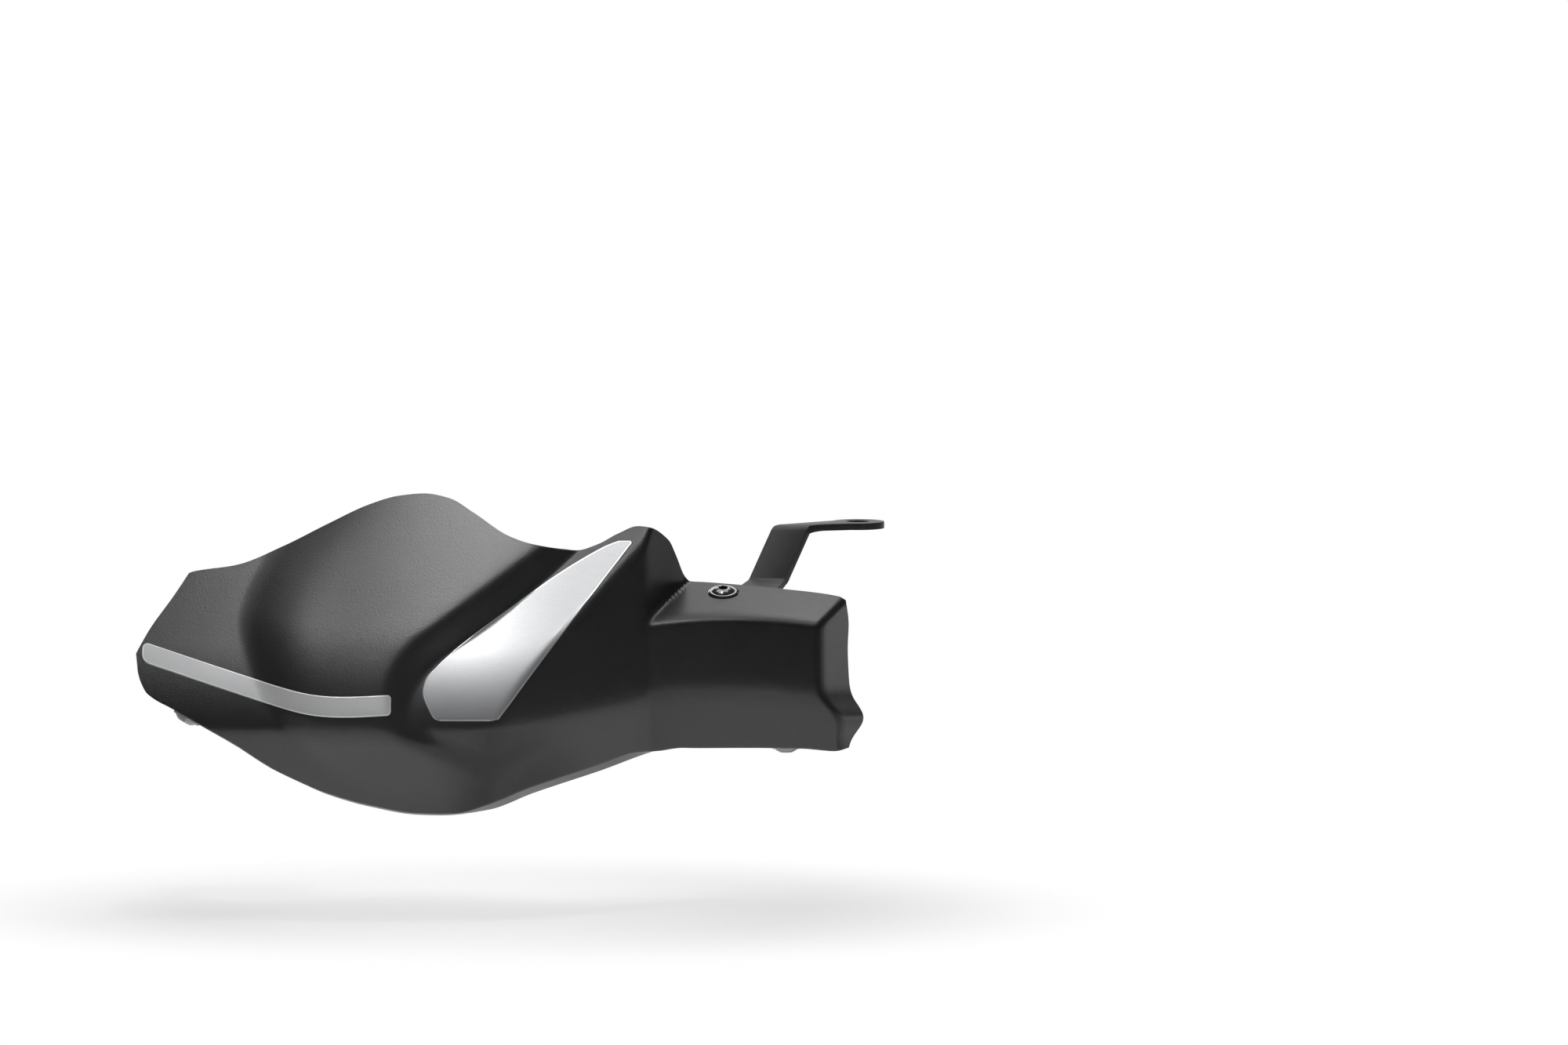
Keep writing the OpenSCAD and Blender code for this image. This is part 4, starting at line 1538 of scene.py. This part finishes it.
@dataclass
class BarEnd:
    """The stack that grips the handlebar's open end, along the X axis."""

    turned: Turned = field(default_factory=lambda: Turned(96))
    bolt_d: float = 8.0
    head_d: float = 13.0
    socket_w: float = 6.0
    pitch: float = 1.25
    knurl: float = 0.12
    knurl_waves: int = 24
    arm_t: float = 8.0
    collar_l: float = 8.0
    washer_t: float = 1.6
    expander_l: float = 30.0
    cone_l: float = 14.0
    bore: float = 18.0
    rib_pitch: float = 3.4
    rib_h: float = 0.75

    def bolt(self, shop: Workshop) -> bpy.types.Object:
        """The long bolt: a cylinder head with a knurl and a hexagon socket, and its thread.

        Args:
            shop: Where pieces are made.

        Returns:
            The bolt about its own origin.
        """
        d, head = self.bolt_d, self.head_d / 2
        low = -self.collar_l - self.arm_t - self.washer_t
        high = self.expander_l + self.cone_l
        r = d / 2
        mouth = self.socket_w / 2 / math.cos(math.pi / 6)
        floor = low - d / 2
        profile = [(0, floor), (mouth, floor - 0.1), (mouth, low - d + 0.25), (mouth + 0.25, low - d)]
        profile += [(head - 0.8, low - d), (head - 0.25, low - d + 0.25), (head, low - d + 0.8)]
        profile += [(head, z) for z in np.linspace(low - d + 1.4, low - 0.6, 6)]
        profile += [(head, low - 0.2), (head - 0.2, low), (r, low)]
        profile += [(r, z) for z in np.arange(low + 0.3, high - 0.9, 0.16)]
        profile += [(r, high - 0.8), (r - 0.8, high), (0, high)]
        cut = self.turned.thread(r, self.pitch, 12, high - 0.3)
        flats = self.turned.hexagon(self.socket_w, mouth)

        def shape(rr: Grid, z: Grid, turn: Grid) -> Grid:
            """Knurled head, flats in the socket and thread on the shank.

            Args:
                rr: Radii.
                z: Heights.
                turn: Angles round the axis.

            Returns:
                The new radii.
            """
            gripped = (z > low - d + 1) & (z < low - 0.5)
            knurl = self.knurl * (np.abs(np.sin(self.knurl_waves * turn)) - 0.5) * gripped
            socket = (rr <= mouth + 1e-6) & (z < low - d / 2 + 0.3)
            round_head = np.where((rr > head - 0.05) & (z < low), rr - 0.1 + knurl, rr)
            plain = np.where(z < low, round_head, cut(rr, z, turn))
            return np.where(socket, flats(rr, z, turn), plain)

        return self.turned.lathe(shop, "long_bolt", profile, shape)

    def expander(self, shop: Workshop) -> bpy.types.Object:
        """The rubber plug with moulded ribs round it.

        Args:
            shop: Where pieces are made.

        Returns:
            The plug about its own origin.
        """
        big, small, length = self.bore / 2 - 0.1, self.bolt_d / 2 + 0.2, self.expander_l
        profile = [(small + 0.2, 0), (big - 0.6, 0), (big - 0.1, 0.5)]
        for z in np.arange(1.2, length - 1.4, 0.25):
            rib = np.clip(math.sin(2 * math.pi * (z - 1.2) / self.rib_pitch) * 1.6 + 0.6, 0, 1)
            profile.append((big - self.rib_h + self.rib_h * rib, z))
        profile += [(big - 0.1, length - 0.5), (big - 0.6, length), ((self.bore - 3.2) / 2, length),
                    (small, length - 8), (small, 0.3)]
        return self.turned.lathe(shop, "plug", profile)

    def build(self, shop: Workshop, repeat: Repeat) -> None:
        """Makes the bar-end pieces.

        Args:
            shop: Where pieces are made.
            repeat: Sets a part at many places.
        """
        along = [Matrix.Rotation(math.radians(90), 4, "Y")]
        repeat.make(shop, "long_bolt_m8", self.bolt(shop), along, Slot.SCREW, "end_bolt")
        repeat.make(shop, "ribbed_plug", self.expander(shop), along, Slot.RUBBER, "expander")
        shop.soften("clamp_arm", "arm", Slot.ANODISED, 0.7, 3)
        shop.soften("end_collar", "collar", Slot.ANODISED, 0.5, 3)
        shop.soften("end_washer", "bolt_washer", Slot.ZINC, 0.25)
        shop.soften("cone_nut", "spreader_cone", Slot.ZINC, 0.4)


@dataclass
class Strap:
    """The folded steel strap to the mirror stud."""

    edge: float = 0.55

    def build(self, shop: Workshop) -> None:
        """Rounds the strap's edges."""
        shop.soften("mirror_strap", "stud_strap", Slot.STEEL, self.edge, 3, 38)


@dataclass(frozen=True)
class SoftBox:
    """One soft lamp: its middle, the point it faces, its size, its power and its cone in degrees."""

    name: str
    place: tuple[float, float, float]
    aim: tuple[float, float, float]
    size: tuple[float, float]
    watts: float
    spread: float = 180.0

    def build(self) -> None:
        """Makes the lamp, which the camera doesn't see."""
        data = bpy.data.lights.new(self.name, "AREA")
        data.spread = math.radians(self.spread)
        data.shape = "RECTANGLE"
        data.size, data.size_y = self.size
        data.energy = self.watts
        lamp = stand(self.name, data)
        lamp.location = self.place
        lamp.visible_camera = False
        lamp.rotation_euler = (Vector(self.aim) - Vector(self.place)).to_track_quat("-Z", "Y").to_euler()


@dataclass
class Studio:
    """Floor, lamps, world and camera."""

    form: GuardForm
    floor_drop: float = 0.045
    floor_tone: float = 0.92
    floor_rings: tuple[float, ...] = (0.5, 2.0, 14.0)
    floor_sides: int = 96
    shadow_middle: tuple[float, float] = (0.13, -0.05)
    shadow_reach: tuple[float, float] = (0.14, 0.28)
    paper_glow: float = 0.62
    world_light: float = 0.06
    distance: float = 5.0
    frame_width: float = 2000 / 2.85 * MM
    sensor_mm: float = 36.0
    aim_mm: tuple[float, float, float] = (126.3, 40.0, 64.4)

    @property
    def low(self) -> float:
        """Height of the floor."""
        return CAD_BOX[0][2] - self.floor_drop

    def floor(self) -> None:
        """A wide white floor."""
        n = self.floor_sides
        turns = [2 * math.pi * i / n for i in range(n)]
        points = [(r * math.cos(a), r * math.sin(a), self.low) for r in self.floor_rings for a in turns]
        faces = [tuple(range(n))]
        for start in range(0, len(points) - n, n):
            faces += [(start + i, start + n + i, start + n + (i + 1) % n, start + (i + 1) % n)
                      for i in range(n)]
        data = bpy.data.meshes.new("floor")
        data.from_pydata(points, [], faces)
        data.materials.append(self.floor_finish())
        stand("floor", data)

    def floor_finish(self) -> bpy.types.Material:
        """White paper: lit near the guard, plain white farther away, clear from below.

        Returns:
            The material.
        """
        s = Shader("pale_floor")
        tone = self.floor_tone
        s.finish(Base_Color=(tone, tone, tone, 1), Roughness=0.9)
        place = s.place((1, 1.25, 1))
        away = s.add("ShaderNodeVectorMath", {"operation": "DISTANCE"},
                     {0: place, 1: (*self.shadow_middle, self.low)})
        along = Value(s, s.add("ShaderNodeSeparateXYZ", inputs={"Vector": place}).outputs["Y"])
        far = Value(s, away.outputs["Value"]).step(*self.shadow_reach)
        white = s.white_seen(along) * (far * (1 - self.paper_glow) + self.paper_glow)
        glow = s.add("ShaderNodeEmission", inputs={"Color": (1, 1, 1, 1), "Strength": 1.0})
        paper = s.add("ShaderNodeMixShader",
                      inputs={"Fac": white, 1: s.surface.outputs[0], 2: glow.outputs[0]})
        under = s.add("ShaderNodeNewGeometry").outputs["Backfacing"]
        clear = s.add("ShaderNodeBsdfTransparent")
        both = s.add("ShaderNodeMixShader",
                     inputs={"Fac": under, 1: paper.outputs[0], 2: clear.outputs[0]})
        s.feed(s.tree.nodes["Material Output"].inputs["Surface"], both.outputs[0])
        return s.material

    def world(self) -> None:
        """Dim even light, with plain white behind everything."""
        world = bpy.data.worlds.new("studio")
        bpy.context.scene.world = world
        nodes = Nodes(world)
        towards = nodes.add("ShaderNodeTexCoord").outputs["Generated"]
        along = Value(nodes, nodes.add("ShaderNodeSeparateXYZ", inputs={0: towards}).outputs["Y"])
        strength = nodes.add("ShaderNodeMapRange", inputs={"Value": nodes.white_seen(along),
                                                           "To Min": self.world_light, "To Max": 1.0})
        back = nodes.tree.nodes["Background"]
        nodes.feed(back.inputs["Strength"], strength.outputs["Result"])
        nodes.feed(back.inputs["Color"], (1, 1, 1, 1))

    def camera(self) -> None:
        """A long lens that looks straight along the front view."""
        to_row = self.form.matrix()
        aim = to_row @ Vector(self.aim_mm)
        view = (to_row.to_3x3().normalized() @ Vector((0, 1, 0))).normalized()
        data = bpy.data.cameras.new("camera")
        data.sensor_width = self.sensor_mm
        data.lens = self.sensor_mm * self.distance / self.frame_width
        data.clip_end = 100
        camera = stand("camera", data)
        camera.location = aim - view * self.distance
        camera.rotation_euler = view.to_track_quat("-Z", "Y").to_euler()
        bpy.context.scene.camera = camera

    def lamps(self) -> tuple[SoftBox, ...]:
        """Lamps above and behind the guard, one in front, and two on the floor that face up.

        Returns:
            The lamps.
        """
        low, lifted = self.low, self.low + 0.002
        return (
            SoftBox("over_panel", (0.09, -0.2, 0.72), (0.09, 0, 0), (0.12, 0.3), 0.09, 26),
            SoftBox("overhead", (0.1, 0.1, 1.6), (0.12, 0.05, 0), (1.5, 1.2), 8),
            SoftBox("behind", (0.1, 1.0, 0.95), (0.12, 0, 0), (1.0, 0.5), 2.2),
            SoftBox("back_right", (0.45, 0.5, 0.9), (0.15, 0, 0), (0.4, 0.4), 1.3),
            SoftBox("rear_fill", (-0.3, 0.75, 0.16), (0.12, 0.02, 0), (0.7, 0.5), 2),
            SoftBox("floor_front", (0.12, -0.42, 0.5), (0.12, -0.34, low), (0.35, 0.15), 0.35, 50),
            SoftBox("under_belly", (0.02, -0.09, lifted), (0.02, -0.09, 1), (0.17, 0.2), 0.055),
            SoftBox("under_box", (0.25, -0.09, lifted), (0.25, -0.09, 1), (0.1, 0.2), 0.03),
        )

    def build(self) -> None:
        """Sets the stage."""
        self.floor()
        self.world()
        self.camera()
        for lamp in self.lamps():
            lamp.build()
        bpy.context.scene.view_settings.view_transform = "Standard"


def main() -> None:
    """Builds the guard and its studio."""
    logging.basicConfig(level=logging.INFO, format="%(name)s %(message)s", stream=sys.stdout, force=True)
    form = GuardForm()
    shop = Workshop()
    repeat = Repeat()
    Shell(form).build(shop)
    Films(form).build(shop)
    ShellFixings(form).build(shop, repeat)
    BarEnd().build(shop, repeat)
    Strap().build(shop)
    Studio(form).build()


if __name__ == "__main__":
    main()
